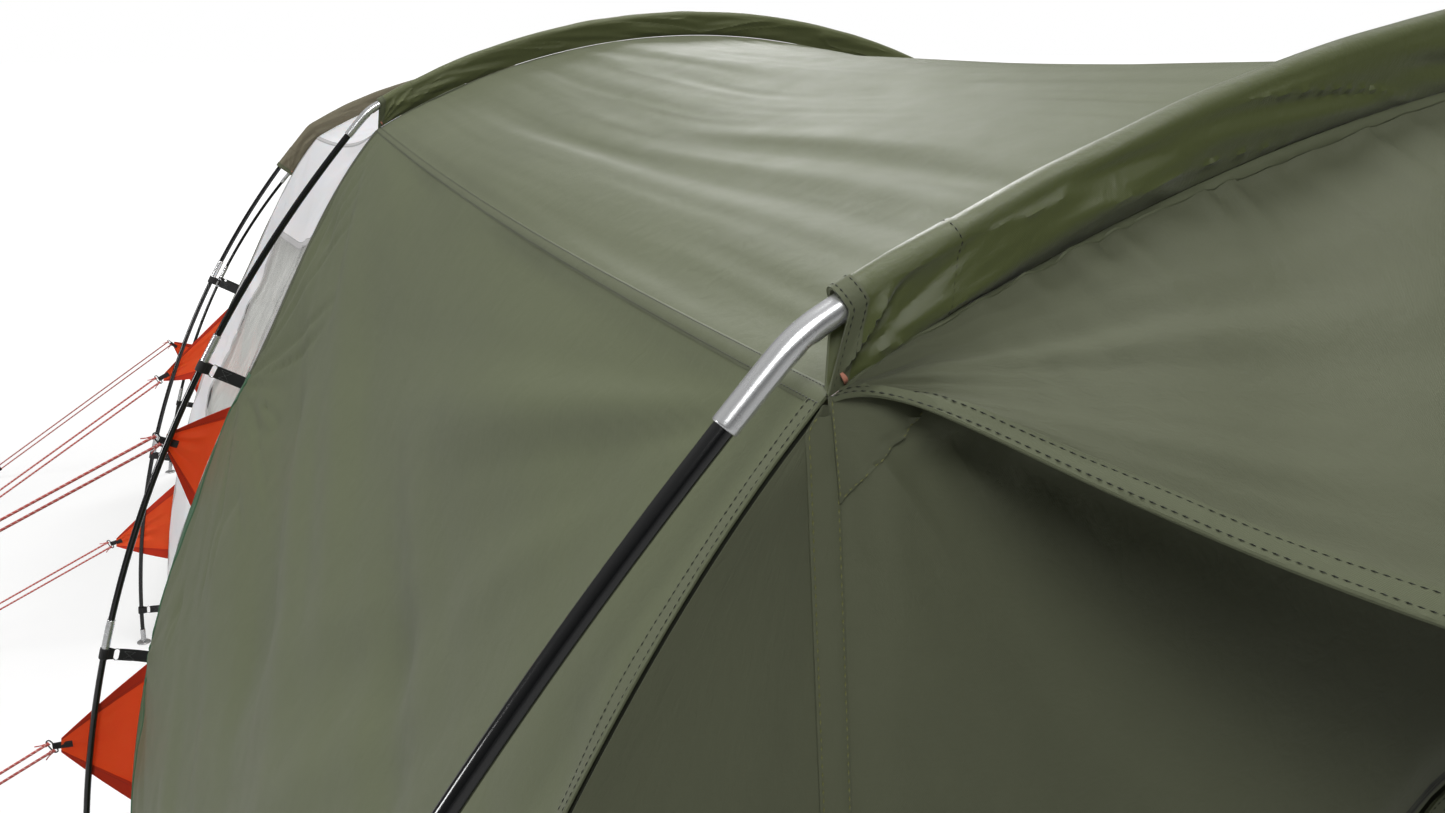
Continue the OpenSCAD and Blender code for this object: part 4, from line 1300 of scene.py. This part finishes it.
# tape along hoop 2, from the highest strap down
build = Build()
tape_top = math.radians(STRAP_AS[0] - 0.6 - EAVE_A) * (LEG_R - LEG_GAP) / side_len(HOOP_H[1])
run = np.linspace(tape_top, 0.992, 260)
for side in SIDES:
    place = wall_edge(0, side, True)
    strip(build, place, run, [0.0002, 0.0010, 0.006, 0.015, 0.024, 0.0252, 0.026],
          [0.0016, 0.0024, 0.0021, 0.0024, 0.0021, 0.0022, 0.0010])
    seam_rows(thread, place, run, (0.0024, 0.0235), 0.0022)
build.piece("edge_tape", MAT["teal"], "tent", "wall_green")


# ---------------------------------------------------------------- door
def door_face(q, lift):
    x, up = q[..., 0], q[..., 1]
    edge = DOOR_W / 2 - np.abs(x)
    d = noise(x / 0.12, up / 0.5, 121) * 0.004 + noise(x / 0.03, up / 0.4, 122) * 0.0012
    d = d * ease(edge / 0.04) * ease((up - DOOR_SILL) / 0.05) * ease((DOOR_SILL + DOOR_H - up) / 0.05)
    return flat_on_wall(q, d + lift)


inside = doorway(DOOR_W - 2 * DOOR_CLEAR, DOOR_SILL + DOOR_CLEAR, DOOR_SILL + DOOR_H - DOOR_CLEAR)
build = Build()
rim = at_angles(inside, WALL_CENTRE, ray_angles(WALL_CENTRE, 300, inside))
disc_sheet(build, WALL_CENTRE, rim, door_face)
door = build.piece("front_door_panel", MAT["wall"], "front_door", "wall_green", ["front_door"])

edge_line = evenly(np.concatenate([inside, inside[:1]]), 700)
inward = unit(WALL_CENTRE - edge_line)
binding, door_thread = Build(), Build()
across = np.array([0.0, 0.0006, 0.006, 0.0115, 0.012])
band = edge_line[:, None] + inward[:, None] * across[None, :, None]
lifts = np.array([0.0003, 0.0010, 0.0013, 0.0010, 0.0001])
slab(binding, flat_on_wall(band, lifts), flat_on_wall(band, -0.0012))
binding.piece("front_door_binding", MAT["hem"], "front_door", "wall_green")
for offset in (0.0022, 0.0098):
    stitches(door_thread, flat_on_wall(edge_line + inward * offset, 0.0012), WALL_OUT)
door_thread.piece("front_door_stitching", MAT["thread"], "front_door", "wall_green")

# ---------------------------------------------------------------- door zip
ZIP_W, ZIP_STOP = 0.014, 0.040
ZIP_PITCH, TOOTH_HALF = 0.0019, 0.0019
zip_line = doorway(DOOR_W + ZIP_W, DOOR_SILL + 0.002, DOOR_SILL + DOOR_H + ZIP_W / 2, 25)[::-1]
zip_line = evenly(zip_line, 900)
zip_line = zip_line[zip_line[:, 0] < DOOR_W / 2 - ZIP_STOP]
heading = unit(np.gradient(zip_line, axis=0))


def left_of(d):
    return vec(-d[:, 1], d[:, 0])


tape = Build()
crown = 0.0006 + 0.0002 * np.cos(np.linspace(-1.3, 1.3, 5))
for low, high in ((-0.0069, -0.0017), (0.0017, 0.0069)):
    band = zip_line[:, None] + left_of(heading)[:, None] * np.linspace(low, high, 5)[None, :, None]
    slab(tape, flat_on_wall(band, crown), flat_on_wall(band, 0.0001))
tape.piece("door_zip_tape", MAT["tape"], "tent", "zip_tape", ["door_zip"])

coil = Build()
s = run_length(zip_line)
at = np.arange(ZIP_PITCH, s[-1], ZIP_PITCH)
p, d = sample(zip_line, s, at), unit(sample(heading, s, at))
corners = []
for level in (0.0003, 0.0016):
    for along, across in ((-1, -1), (1, -1), (1, 1), (-1, 1)):
        ahead = along * 0.31 * ZIP_PITCH + across * 0.35 * TOOTH_HALF
        corners.append(flat_on_wall(p + d * ahead + left_of(d) * across * TOOTH_HALF, level))
base = np.arange(len(p))[:, None] * 8
block = ((0, 3, 2, 1), (4, 5, 6, 7), (0, 1, 5, 4), (1, 2, 6, 5), (2, 3, 7, 6), (3, 0, 4, 7))
quads = np.concatenate([base + np.array(f)[None] for f in block])
tooth_uv = np.array([[0, 0], [0.001, 0], [0.001, 0.001], [0, 0.001]])
coil.add(np.stack(corners, 1).reshape(-1, 3), [quads], [np.tile(tooth_uv, (len(quads), 1, 1))])
coil.piece("door_zip_coil", MAT["teeth"], "tent", "zip_tape")


def pebble(build, centre, axes, size, power, n=14, m=28):
    """A rounded block: size is its full extent along each of the three axes."""
    a = np.linspace(-math.pi / 2, math.pi / 2, n)
    round_a, round_b = swell(np.cos(a), power)[:, None], circle(m)
    ring = vec(round_a * swell(np.cos(round_b), power), round_a * swell(np.sin(round_b), power),
               swell(np.sin(a), power)[:, None]) / 2
    ring[[0, -1], :, :2] *= 0.02
    loft(build, centre + sum(ring[..., k:k + 1] * size[k] * np.asarray(axes[k], float) for k in range(3)))


slide, pull = Build(), Build()
zip_x, rest = -DOOR_W / 2 - ZIP_W / 2, DOOR_SILL + 0.030
axes = (np.array([1.0, 0, 0]), WALL_DIR, WALL_OUT)
pebble(slide, on_wall(zip_x, rest + 0.008, 0.0036), axes, (0.0100, 0.0160, 0.0036), 0.5)
bow = 0.0052 + 0.0012 * np.cos(np.linspace(-1.5, 1.5, 9))
bridge = on_wall(zip_x, rest + np.linspace(0.001, 0.011, 9), bow)
loft(slide, rings_along(bridge, 0.0009, 10))
slide.piece("zip_slider_body", MAT["slider"], "door_zip_slider", "zip_metal", ["door_zip_slider"])
width = 0.0048 * (0.62 + 0.38 * np.sin(np.linspace(0.5, 2.9, 16)))
x = zip_x + np.linspace(-0.5, 0.5, 5) * width[:, None]
up = rest + np.linspace(0.004, -0.024, 16)[:, None] + np.zeros(5)
slab(pull, on_wall(x, up, 0.0052), on_wall(x, up, 0.0038))
pull.piece("zip_pull", MAT["slider"], "door_zip_slider", "zip_metal")

# ---------------------------------------------------------------- middle bay: pale walls with a window
WIN_U, WIN_V = (0.012, 0.84), (0.170, 0.50)


class WindowSkin:
    """A side wall's skin with its rows lifted near the front end, where the window's top edge curves up."""

    def __init__(self, skin):
        self.skin = skin

    def both(self, u, v):
        share = np.minimum(v / WIN_V[0], (1 - v) / (1 - WIN_V[0]))
        return self.skin.both(u, v - 0.045 * np.clip(1 - u, 0, 1) ** 1.5 * share)


def window_wall(build, skin):
    """The wall, in four panels round its window."""
    span = np.linspace
    panel(build, skin, span(0, 1, 90), span(0, WIN_V[0], 34))
    panel(build, skin, span(0, 1, 90), span(WIN_V[1], 1, 70))
    panel(build, skin, span(0, WIN_U[0], 4), span(*WIN_V, 44))
    panel(build, skin, span(WIN_U[1], 1, 18), span(*WIN_V, 44))


def curtain_sheet(build, skin):
    """Curtain behind the window, gathered along its top."""
    us, vs = np.linspace(0.002, WIN_U[1] + 0.04, 260), np.linspace(WIN_V[0] - 0.03, WIN_V[1] + 0.03, 30)
    u, v = np.meshgrid(us, vs, indexing="ij")
    p, n = skin.both(u, v)
    far = (u - WIN_U[0]) * bay_len(1)
    gather = noise(far / 0.014, v / 0.5, 131) * 0.0045 + noise(far / 0.040, v / 0.7, 132) * 0.0035
    depth = (0.0115 + gather * (0.35 + 0.65 * ease((v - WIN_V[0]) / 0.2)))[..., None]
    slab(build, p - n * depth, p - n * (depth + 0.0008))


def border_edge(skin, start, stop):
    """Band along one edge of the window: a from start to stop, b in metres across it."""
    level = start[0] != stop[0]
    wide = 1 / (side_len(HOOP_H[1]) if level else bay_len(1))

    def place(a, b):
        u, v = mix(start[0], stop[0], a), mix(start[1], stop[1], a)
        return skin.both(u + (0 if level else b * wide), v + (b * wide if level else 0))

    return place


for side, word in LEFT_RIGHT:
    skin = WindowSkin(walls[1, side])
    wall_build, film_build, curtain_build, border = Build(), Build(), Build(), Build()
    window_wall(wall_build, skin)
    name, node = f"side_panel_middle_{word}", f"side_middle_{word}"
    wall = wall_build.piece(name, MAT["grey"], "tent", "wall_grey", [node])

    film_u = np.linspace(WIN_U[0] - 0.004, WIN_U[1] + 0.004, 90)
    film_v = np.linspace(WIN_V[0] - 0.004, WIN_V[1] + 0.004, 34)
    panel(film_build, skin, film_u, film_v, 0.0006, -0.0002)
    film = film_build.piece(f"window_film_{word}", MAT["film"], "tent", "window_film", [f"window_{word}"])

    curtain_sheet(curtain_build, skin)
    curtain = curtain_build.piece(f"window_curtain_{word}", MAT["curtain"], "tent", "bedroom_fabric")

    edges = [((WIN_U[0], v), (WIN_U[1], v)) for v in WIN_V] + [((u, WIN_V[0]), (u, WIN_V[1])) for u in WIN_U]
    for start, stop in edges:
        place = border_edge(skin, start, stop)
        strip(border, place, np.linspace(-0.004, 1.004, 160), [-0.011, -0.010, -0.004, 0.004, 0.010, 0.011],
              [0.0002, 0.0014, 0.0017, 0.0017, 0.0014, 0.0002])
        seam_rows(thread_grey, place, np.linspace(0, 1, 160), (-0.0085, 0.0085), 0.0016)
    border.piece(f"window_border_{word}", MAT["grey_hem"], "tent", "wall_grey")

grey_hems.piece("middle_wall_hems", MAT["grey_hem"], "tent", "wall_grey")


# ---------------------------------------------------------------- rear wall
REAR_TOP = 0.35


def rear_where(u, v):
    """u runs from left to right; v from the ridge through the corner, at REAR_TOP, to the ground."""
    h = HOOP_H[3]
    s = 2 * u - 1
    tx, tz = roof_pt(h, ease(v / REAR_TOP) * 0.985 + 0.012, 0.006)
    bx, bz = side_pt(h, (np.maximum(v, REAR_TOP) - REAR_TOP) / (1 - REAR_TOP) * 0.997 + 0.003, 0.002)
    x, z = np.where(v < REAR_TOP, tx, bx), np.where(v < REAR_TOP, tz, bz)
    drop = np.maximum(0, h - CORNER_DROP - z)
    lean = REAR_REACH * drop / (h - CORNER_DROP) * (1 - np.abs(s) ** 3)
    return vec(x * s, HOOP_Y[3] + 0.0015 + lean, z)


def rear_dents(u, v):
    s, down = 2 * u - 1, v * 1.6
    d = noise(s / 0.10, v / 0.5, 141) * 0.008
    d = d + noise(s / 0.035, v / 0.5, 142) * 0.0022 * np.exp(-(1 - v) / 0.3)
    for across, seed in ((1 + s, 143), (1 - s, 144)):
        d = d + fan(1.2 * across, down - 0.5, 0.5, 0.028, seed)
    return d * ease((1 - np.abs(s)) / 0.05) * ease((1 - v) / 0.02) * ease(v / 0.06)


rear_skin = Skin(rear_where, rear_dents, -1)
build = Build()
panel(build, rear_skin, np.linspace(0, 1, 150), np.linspace(0, 1, 150))
rear = build.piece("rear_wall_panel", MAT["wall"], "tent", "wall_green", ["rear_wall"])
run = np.linspace(0.05, 0.995, 220)
for seam_u in (0.27, 0.73):
    place = lambda a, b: rear_skin.both(seam_u + b / 2.2, a)
    strip(hems, place, run, [-0.007, -0.006, 0, 0.006, 0.007], [0.0001, 0.0011, 0.0012, 0.0011, 0.0001])
    seam_rows(thread, place, run, (-0.0048, 0.0048), 0.0013)

# ---------------------------------------------------------------- groundsheets and bedroom
for node, name, material, cell in (("living_groundsheet", "living_groundsheet_cloth", "ground", 0.16),
                                   ("bedroom_floor", "bedroom_floor_cloth", "ground_inner", 0.12)):
    low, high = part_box(node)
    xs, ys = np.linspace(low.x + 0.002, high.x - 0.002, 150), np.linspace(low.y + 0.002, high.y - 0.002, 170)
    x, y = np.meshgrid(xs, ys, indexing="ij")
    z = 0.0016 + 0.0011 * (noise(x / cell, y / cell, 151) + 0.6 * noise((x + y) / 0.05, (x - y) / 0.4, 152))
    p = vec(x, y, np.clip(z, 0.0006, 0.0040))
    build = Build()
    slab(build, p, p - np.array([0, 0, 0.0005]))
    cloth = build.piece(name, MAT[material], "tent", "groundsheet", [node])

INNER_INSET = 0.088
INNER_EAVE = 0.4
INNER_Y = (HOOP_Y[2] + 0.060, HOOP_Y[3] - 0.020)
INNER_U = [(y - HOOP_Y[2]) / bay_len(2) for y in INNER_Y]


def inner_where(u, w):
    """The bedroom's skin; w runs from -1 to 1 across, with its eaves at INNER_EAVE either side."""
    h = bay_h(2, mix(INNER_U[0], INNER_U[1], u))
    side = np.abs(w) > INNER_EAVE
    t = np.clip((np.abs(w) - INNER_EAVE) / (1 - INNER_EAVE), 0, 1)
    rx, rz = roof_pt(h, np.clip(w / INNER_EAVE, -1, 1), INNER_INSET)
    sx, sz = side_pt(h, t * 0.985, INNER_INSET)
    ex, ez = roof_pt(h, 1, INNER_INSET)
    fx, fz = side_pt(h, 0, INNER_INSET)
    back = (1 - t) ** 2
    x = np.where(side, np.sign(w) * (sx + (ex - fx) * back), rx)
    z = np.where(side, sz + (ez - fz) * back, rz)
    return vec(x, mix(INNER_Y[0], INNER_Y[1], u), np.maximum(z, 0.006))


def inner_dents(u, w):
    y, s = u * 1.82, w * 2.6
    d = noise(s / 0.10, y / 0.35, 161) * 0.007 + noise(s / 0.035, y / 0.3, 162) * 0.002
    return d * ease(u / 0.04) * ease((1 - u) / 0.04) * ease((1 - np.abs(w)) / 0.04)


build = Build()
panel(build, Skin(inner_where, inner_dents, -1), np.linspace(0, 1, 70), np.linspace(-1, 1, 170))
inner = build.piece("bedroom_canopy", MAT["inner"], "tent", "bedroom_fabric", ["bedroom_tent"])


def bedroom_end(end, y_at, facing):
    """Puts flat points on the bedroom's end wall at y_at, with its folds."""
    def face(q, lift):
        x, z = q[..., 0], q[..., 1]
        sway = noise(x / 0.09, z / 0.6, 171 + end) * 0.0035 * ease((z - 0.02) / 0.1)
        return vec(x, y_at - lift + np.clip(sway, -0.004, 0.002) * facing, z)
    return face


across = np.linspace(-1, 1, 161)
for end, name, node, gap, facing, middle in ((0, "bedroom_front_wall", "bedroom_front", -0.0012, 1, 0.80),
                                             (1, "bedroom_back_wall", "bedroom_back", 0.0032, -1, 0.70)):
    edge = inner_where(np.full_like(across, float(end)), across)[:, [0, 2]]
    centre = np.array([0, middle])
    angles = ray_angles(centre, 300, (edge[0], edge[-1]))
    rim = at_angles(edge, centre, angles)
    face = bedroom_end(end, INNER_Y[end] + gap, facing)
    build = Build()
    if end == 1:
        disc_sheet(build, centre, rim, face)
    else:
        a = np.radians(np.linspace(0, 180, 40))
        top = vec(0.35 * np.cos(a), 1.12 + 0.35 * np.sin(a))
        opening = np.concatenate([[[0.35, 0.12]], top, [[-0.35, 0.12]]])
        holed_sheet(build, at_angles(opening, centre, angles), rim, face, 34)
    wall = build.piece(name, MAT["inner"], "tent", "bedroom_fabric", [node])

# ---------------------------------------------------------------- straps, rings and ground discs
STRAP_W, STRAP_T = 0.025, 0.0016


def ribbon(build, line, wide_dir, width=STRAP_W, thick=STRAP_T):
    """A flat strap along a line, wide along wide_dir."""
    line = np.asarray(line, float)
    face = unit(np.cross(unit(np.gradient(line, axis=0)), wide_dir))[:, None]
    b = np.linspace(-0.5, 0.5, 7) * width
    crown = (thick / 2 * (1 - 0.55 * np.abs(np.linspace(-1, 1, 7)) ** 6))[None, :, None]
    mid = line[:, None] + b[None, :, None] * np.asarray(wide_dir, float)
    slab(build, mid + face * crown, mid - face * crown)


def pole_loop(p, inward, along):
    """Loop of webbing round the pole, closed on its inner side."""
    b = np.radians(np.linspace(28, 332, 30))[:, None]
    ring = p + (FERRULE_R + 0.0012) * (np.cos(b) * inward + np.sin(b) * Y_DIR)
    neck = p + inward * 0.0175
    line = np.concatenate([[neck + Y_DIR * 0.0012], ring, [neck - Y_DIR * 0.0012]])
    line = sample(line, np.linspace(0, 1, len(line)), np.linspace(0, 1, 46))
    ribbon(loops, line, along, 0.022, 0.0013)


def leg_strap(p, inward, along):
    """Strap from the oval ring to the skin's edge, folded back and sewn with a boxed cross."""
    c = np.linspace(0, 1, 20)[:, None]
    reach = LEG_GAP - 0.0265
    line = p + inward * (0.0270 + c * reach) + Y_DIR * (0.0016 * np.sin(c * math.pi) + 0.0010)
    ribbon(straps, line, along)
    ribbon(straps, line[:9] - Y_DIR * 0.0019, along, STRAP_W * 0.97)
    near, far = p + inward * 0.036, p + inward * 0.056
    for e in SIDES:
        start = near + along * e * 0.0085
        for stop in (far - along * e * 0.0085, far + along * e * 0.0085):
            row = mix(start, stop, np.linspace(0, 1, 8)[:, None]) - Y_DIR * 0.0019
            stitches(strap_thread, row, -Y_DIR, pitch=0.0026, length=0.0020, width=0.0006)


straps, loops, ovals, strap_thread = Build(), Build(), Build(), Build()
for i in HOOPS:
    for side in SIDES:
        for a in STRAP_AS:
            if a >= angle_at_z(HOOP_H[i], 0.060, LEG_R):
                continue
            p, out, along = (q[0] for q in hoop_line(i, np.array([side * leg_s(a)])))
            pole_loop(p, -out, along)
            wire_loop(ovals, p - 0.0225 * out, -0.0075 * out, 0.0125 * along, 0.00135, 10, Y_DIR)
            leg_strap(p, -out, along)
straps.piece("leg_strap_webbing", MAT["black"], "tent", "webbing_black", ["leg_straps"])
loops.piece("pole_loops", MAT["black"], "tent", "ring_black", ["strap_rings"])
ovals.piece("strap_oval_rings", MAT["wire"], "tent", "ferrule_metal")
strap_thread.piece("strap_stitching", MAT["thread_grey"], "tent", "webbing_black")

discs = Build()
DISC_Z = np.array([0, 0, 0.0006, 0.0016, 0.0030, 0.0040, 0.0040, 0.0034, 0.0034, 0.0036])[:, None]
DISC_R = np.array([0.001, 0.0208, 0.0220, 0.0220, 0.0216, 0.0202, 0.0120, 0.0105, 0.0050, 0.0010])[:, None]
STEM_S = np.array([-0.0052, -0.0049, 0.0, 0.010, 0.0155, 0.0163])[:, None]
STEM_R = np.array([0.0026, 0.003, 0.003, 0.003, 0.0026, 0.0008])
for i in HOOPS:
    foot = float(angle_at_z(HOOP_H[i], POLE_FOOT_Z, LEG_R))
    for side in SIDES:
        x = side * (LEG_CX + LEG_R * sin_d(foot))
        phi = circle(40)
        loft(discs, vec(x + DISC_R * np.cos(phi), HOOP_Y[i] + DISC_R * np.sin(phi), DISC_Z))
        lean = vec(side * sin_d(foot - 90), 0, cos_d(foot - 90))
        stem = vec(x, HOOP_Y[i], POLE_FOOT_Z) + lean * STEM_S
        loft(discs, rings_along(stem, STEM_R, 16, Y_DIR))
discs.piece("ground_discs", MAT["disc"], "tent", "foot_steel", ["foot_pins"])

# ---------------------------------------------------------------- guy flaps and hardware
FLAP_COLS = 40


def flap_places(k, g):
    """A left flap's grid, from its base on the wall to its tip, and the start of its tip webbing."""
    hoop, low_a, high_a, tip, _ = g
    apex = np.array([tip[0], HOOP_Y[hoop] + tip[1], tip[2]])
    c = np.linspace(0, 1, FLAP_COLS)
    a, r = mix(low_a, high_a, c), LEG_R - LEG_GAP + 0.0015
    base = vec(-(LEG_CX + r * sin_d(a)), apex[1], leg_cz(HOOP_H[hoop]) + r * cos_d(a))
    reach = apex - base[FLAP_COLS // 2]
    up = np.array([0, 0, 1.0])
    tip_line = apex + up * np.linspace(0.006, -0.006, FLAP_COLS)[:, None]
    s, q = np.linspace(0, 0.94, 44)[:, None, None], c[None, :, None]
    bow = np.sin(np.pi * s)
    scoop = 0.066 * np.linalg.norm(reach) * np.linalg.norm(base[0] - base[-1])
    scoop = scoop * bow * (1 - 2 * q) * np.abs(2 * q - 1) ** 3
    fold = noise((q - 0.5) * 2 / 0.22, s / 0.6, 181 + k) * 0.0060 * np.sin(np.pi * np.clip(s * 1.02, 0, 1))
    lift = (fold + 0.006 * bow) * np.sin(np.pi * q) - 0.002
    return mix(base[None], tip_line[None], s) + scoop * up + lift * Y_DIR, apex - unit(reach) * 0.030


def flap_tip(front, back):
    """Two layers of webbing that cap the flap's tip, with two rows of stitches."""
    wide = unit(np.cross(unit(front - back), Y_DIR))
    t = np.linspace(0, 1, 22)[:, None]
    for off in (-0.0018, 0.0018):
        ribbon(tip_tape, mix(back, front, t) + Y_DIR * off * (1 - ease(t * 0.9)), wide, 0.014, 0.0014)
    for off in (-0.0045, 0.0045):
        row = mix(back, front, np.linspace(0.04, 0.62, 20)[:, None]) + wide * off - Y_DIR * 0.0027
        stitches(flap_thread, row, -Y_DIR, pitch=0.0034, length=0.0025)


def strand_knot(at, d, across, up, e):
    """A few turns of cord, and its loose tail on side e."""
    turns = np.linspace(0, 2.6 * 2 * math.pi, 60)[:, None]
    coil = at + d * np.linspace(-0.0045, 0.0055, 60)[:, None]
    loft(knots, rings_along(coil + 0.0027 * (np.cos(turns) * across + np.sin(turns) * up), 0.00145, 10))
    t = np.linspace(0, 1, 10)[:, None]
    tail = at + d * mix(0.004, 0.024, t) + across * e * (0.003 + 0.006 * t**1.5) - up * 0.002 * t
    loft(knots, rings_along(tail, 0.0013, 8))


flap_hems, flap_thread, tip_tape, bars, knots = Build(), Build(), Build(), Build(), Build()
for k, g in enumerate(GUYS):
    places, tip_start = flap_places(k, g)
    for side, word in LEFT_RIGHT:
        shifted = lambda grid, y: grid * mirror(side) + y * Y_DIR
        build = Build()
        slab(build, shifted(places, -0.0004), shifted(places, 0.0005))
        flap = build.piece(f"guy_flap_{k + 1}_{word}", MAT["flap"], "tent", "flap_red", ["guy_flaps"])
        for cols, seam in ((slice(0, 6), 4), (slice(FLAP_COLS - 6, FLAP_COLS), FLAP_COLS - 5)):
            slab(flap_hems, shifted(places[:, cols], -0.0013), shifted(places[:, cols], 0.0013))
            stitches(flap_thread, shifted(places[:, seam], -0.0013), -Y_DIR, pitch=0.0044)
        tip, _, d, across = guy_frame(g, side)
        up = unit(np.cross(d, across))
        flap_tip(tip + d * 0.0015, tip_start * mirror(side))
        # a small bar holds the two strands, each with its knot
        wire_loop(bars, tip + d * 0.0020, across * 0.0150, d * 0.0052, 0.0014, 10, up, power=0.6)
        for e in SIDES:
            strand_knot(tip + d * 0.0072 + across * e * STRAND_HALF, d, across, up, e)
flap_hems.piece("flap_hems", MAT["flap_hem"], "tent", "flap_red")
flap_thread.piece("flap_stitching", MAT["thread_red"], "tent", "flap_red")
tip_tape.piece("flap_tip_webbing", MAT["black"], "tent", "webbing_black")
bars.piece("guy_tie_bars", MAT["ring"], "tent", "ring_black")
knots.piece("guy_knots", MAT["cord"], "tent", "guy_cord")


# ---------------------------------------------------------------- runners
def runner(build, centre, d, across):
    """A waisted block with rolled rims at its two cord holes and four grip ridges on each face."""
    up = unit(np.cross(d, across))
    t, w = circle(48), np.linspace(-1, 1, 15)[:, None]
    waist = 1 - 0.16 * np.exp(-(w / 0.38) ** 2)
    close = np.clip(1 - np.abs(w) ** 9 * 0.22, 0.02, 1)
    wide = 0.0150 * swell(np.cos(t), 0.55) * close
    tall = 0.0045 * swell(np.sin(t), 0.75) * waist * close
    loft(build, centre + wide[..., None] * across + tall[..., None] * up + 0.0070 * w[..., None] * d)
    for e in SIDES:
        for face in SIDES:
            hole = centre + d * face * 0.0068 + e * STRAND_HALF * across
            wire_loop(build, hole, 0.0024 * across, 0.0024 * up, 0.0006, 8, d, 24)
    for x in np.linspace(-0.0036, 0.0036, 4):
        for face in SIDES:
            ridge = centre + across * np.linspace(-0.004, 0.004, 8)[:, None] + up * face * 0.0040 + d * x
            loft(build, rings_along(ridge, 0.00055, 8, d))


for k, g in enumerate(GUYS):
    for side, word in LEFT_RIGHT:
        body = f"runner_{k + 1}_{word}"
        low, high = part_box(body)
        _, _, d, across = guy_frame(g, side)
        build = Build()
        runner(build, np.array((low + high) / 2), d, across)
        build.piece(f"runner_body_{k + 1}_{word}", MAT["plastic"], body, "runner_plastic", [body])

# ---------------------------------------------------------------- stitching and bands that every panel shares
for build, name, material in ((hems, "seam_bands", "hem"), (thread, "green_stitching", "thread"),
                              (thread_light, "olive_stitching", "thread_light"),
                              (thread_grey, "grey_stitching", "thread_grey")):
    build.piece(name, MAT[material], "tent")


# ---------------------------------------------------------------- floor and light
def studio_floor():
    """Paper floor that looks white to the camera and lights nothing, brighter farther off."""
    m = Material("studio_floor")
    paper = m.noise(m.place, 0.6, 3)
    far = m.node("VectorMath", {0: m.place}, operation="LENGTH").outputs["Value"]
    seen = m.node("LightPath").outputs["Is Camera Ray"]
    m.surface(m.times(paper, 0.0005), m.tinted((0.50, 0.50, 0.50), m.spread(paper, 0.99, 1.01)), 0.9,
              Specular_IOR_Level=0.1, Emission_Color=(1, 1, 1),
              Emission_Strength=m.times(m.spread(far, 0.55, 1.0, 3.5, 9.0), seen))
    mesh = bpy.data.meshes.new("studio_floor")
    half = 90.0
    corners = [(-half, -half, 0), (half, -half, 0), (half, half, 0), (-half, half, 0)]
    mesh.from_pydata(corners, [], [(0, 1, 2, 3)])
    mesh.materials.append(m.material)
    floor = bpy.data.objects.new("studio_floor", mesh)
    floor.location.z = -0.0015
    bpy.context.scene.collection.objects.link(floor)


def studio_world():
    """White to the camera; for the tent, a soft glow from above, one side and behind."""
    world = bpy.data.worlds.new("studio")
    bpy.context.scene.world = world
    world.use_nodes = True
    sky = Nodes(world.node_tree)
    sky.tree.nodes.clear()
    x, y, z = sky.node("SeparateXYZ", {0: sky.node("TexCoord").outputs["Generated"]}).outputs
    height = sky.spread(z, 0.0, 0.42, -0.1, 1.0)
    aside = sky.spread(x, 1.25, 0.75, -1.0, 1.0)
    ahead = sky.spread(y, 0.45, 1.25, -1.0, 1.0)
    level = sky.times(sky.times(height, aside), ahead)
    lit = sky.node("Background", {"Color": (1.0, 0.995, 0.985), "Strength": level})
    white = sky.node("Background", {"Color": (1, 1, 1), "Strength": 1.0})
    seen = sky.node("LightPath").outputs["Is Camera Ray"]
    choose = sky.node("MixShader", {0: seen, 1: lit.outputs[0], 2: white.outputs[0]})
    sky.node("OutputWorld", {0: choose.outputs[0]})


def area_light(name, place, target, size, power):
    data = bpy.data.lights.new(name, "AREA")
    data.shape = "DISK"
    data.size, data.energy = size, power
    light = bpy.data.objects.new(name, data)
    light.location = place
    light.rotation_mode = "QUATERNION"
    light.rotation_quaternion = (Vector(target) - Vector(place)).to_track_quat("-Z", "Y")
    bpy.context.scene.collection.objects.link(light)


studio_floor()
studio_world()
area_light("key", (0.6, -0.6, 9.0), (0, -1.0, 1.2), 3.4, 330)
area_light("front", (-2.5, -7.6, 6.2), (0, -2.8, 1.6), 3.0, 215)
area_light("back", (3.0, 7.0, 5.0), (0, -1.0, 1.6), 2.4, 230)
area_light("side", (-6.8, -0.6, 2.6), (-1.2, -1.2, 1.0), 1.6, 105)
bpy.context.scene.view_settings.view_transform = "Standard"
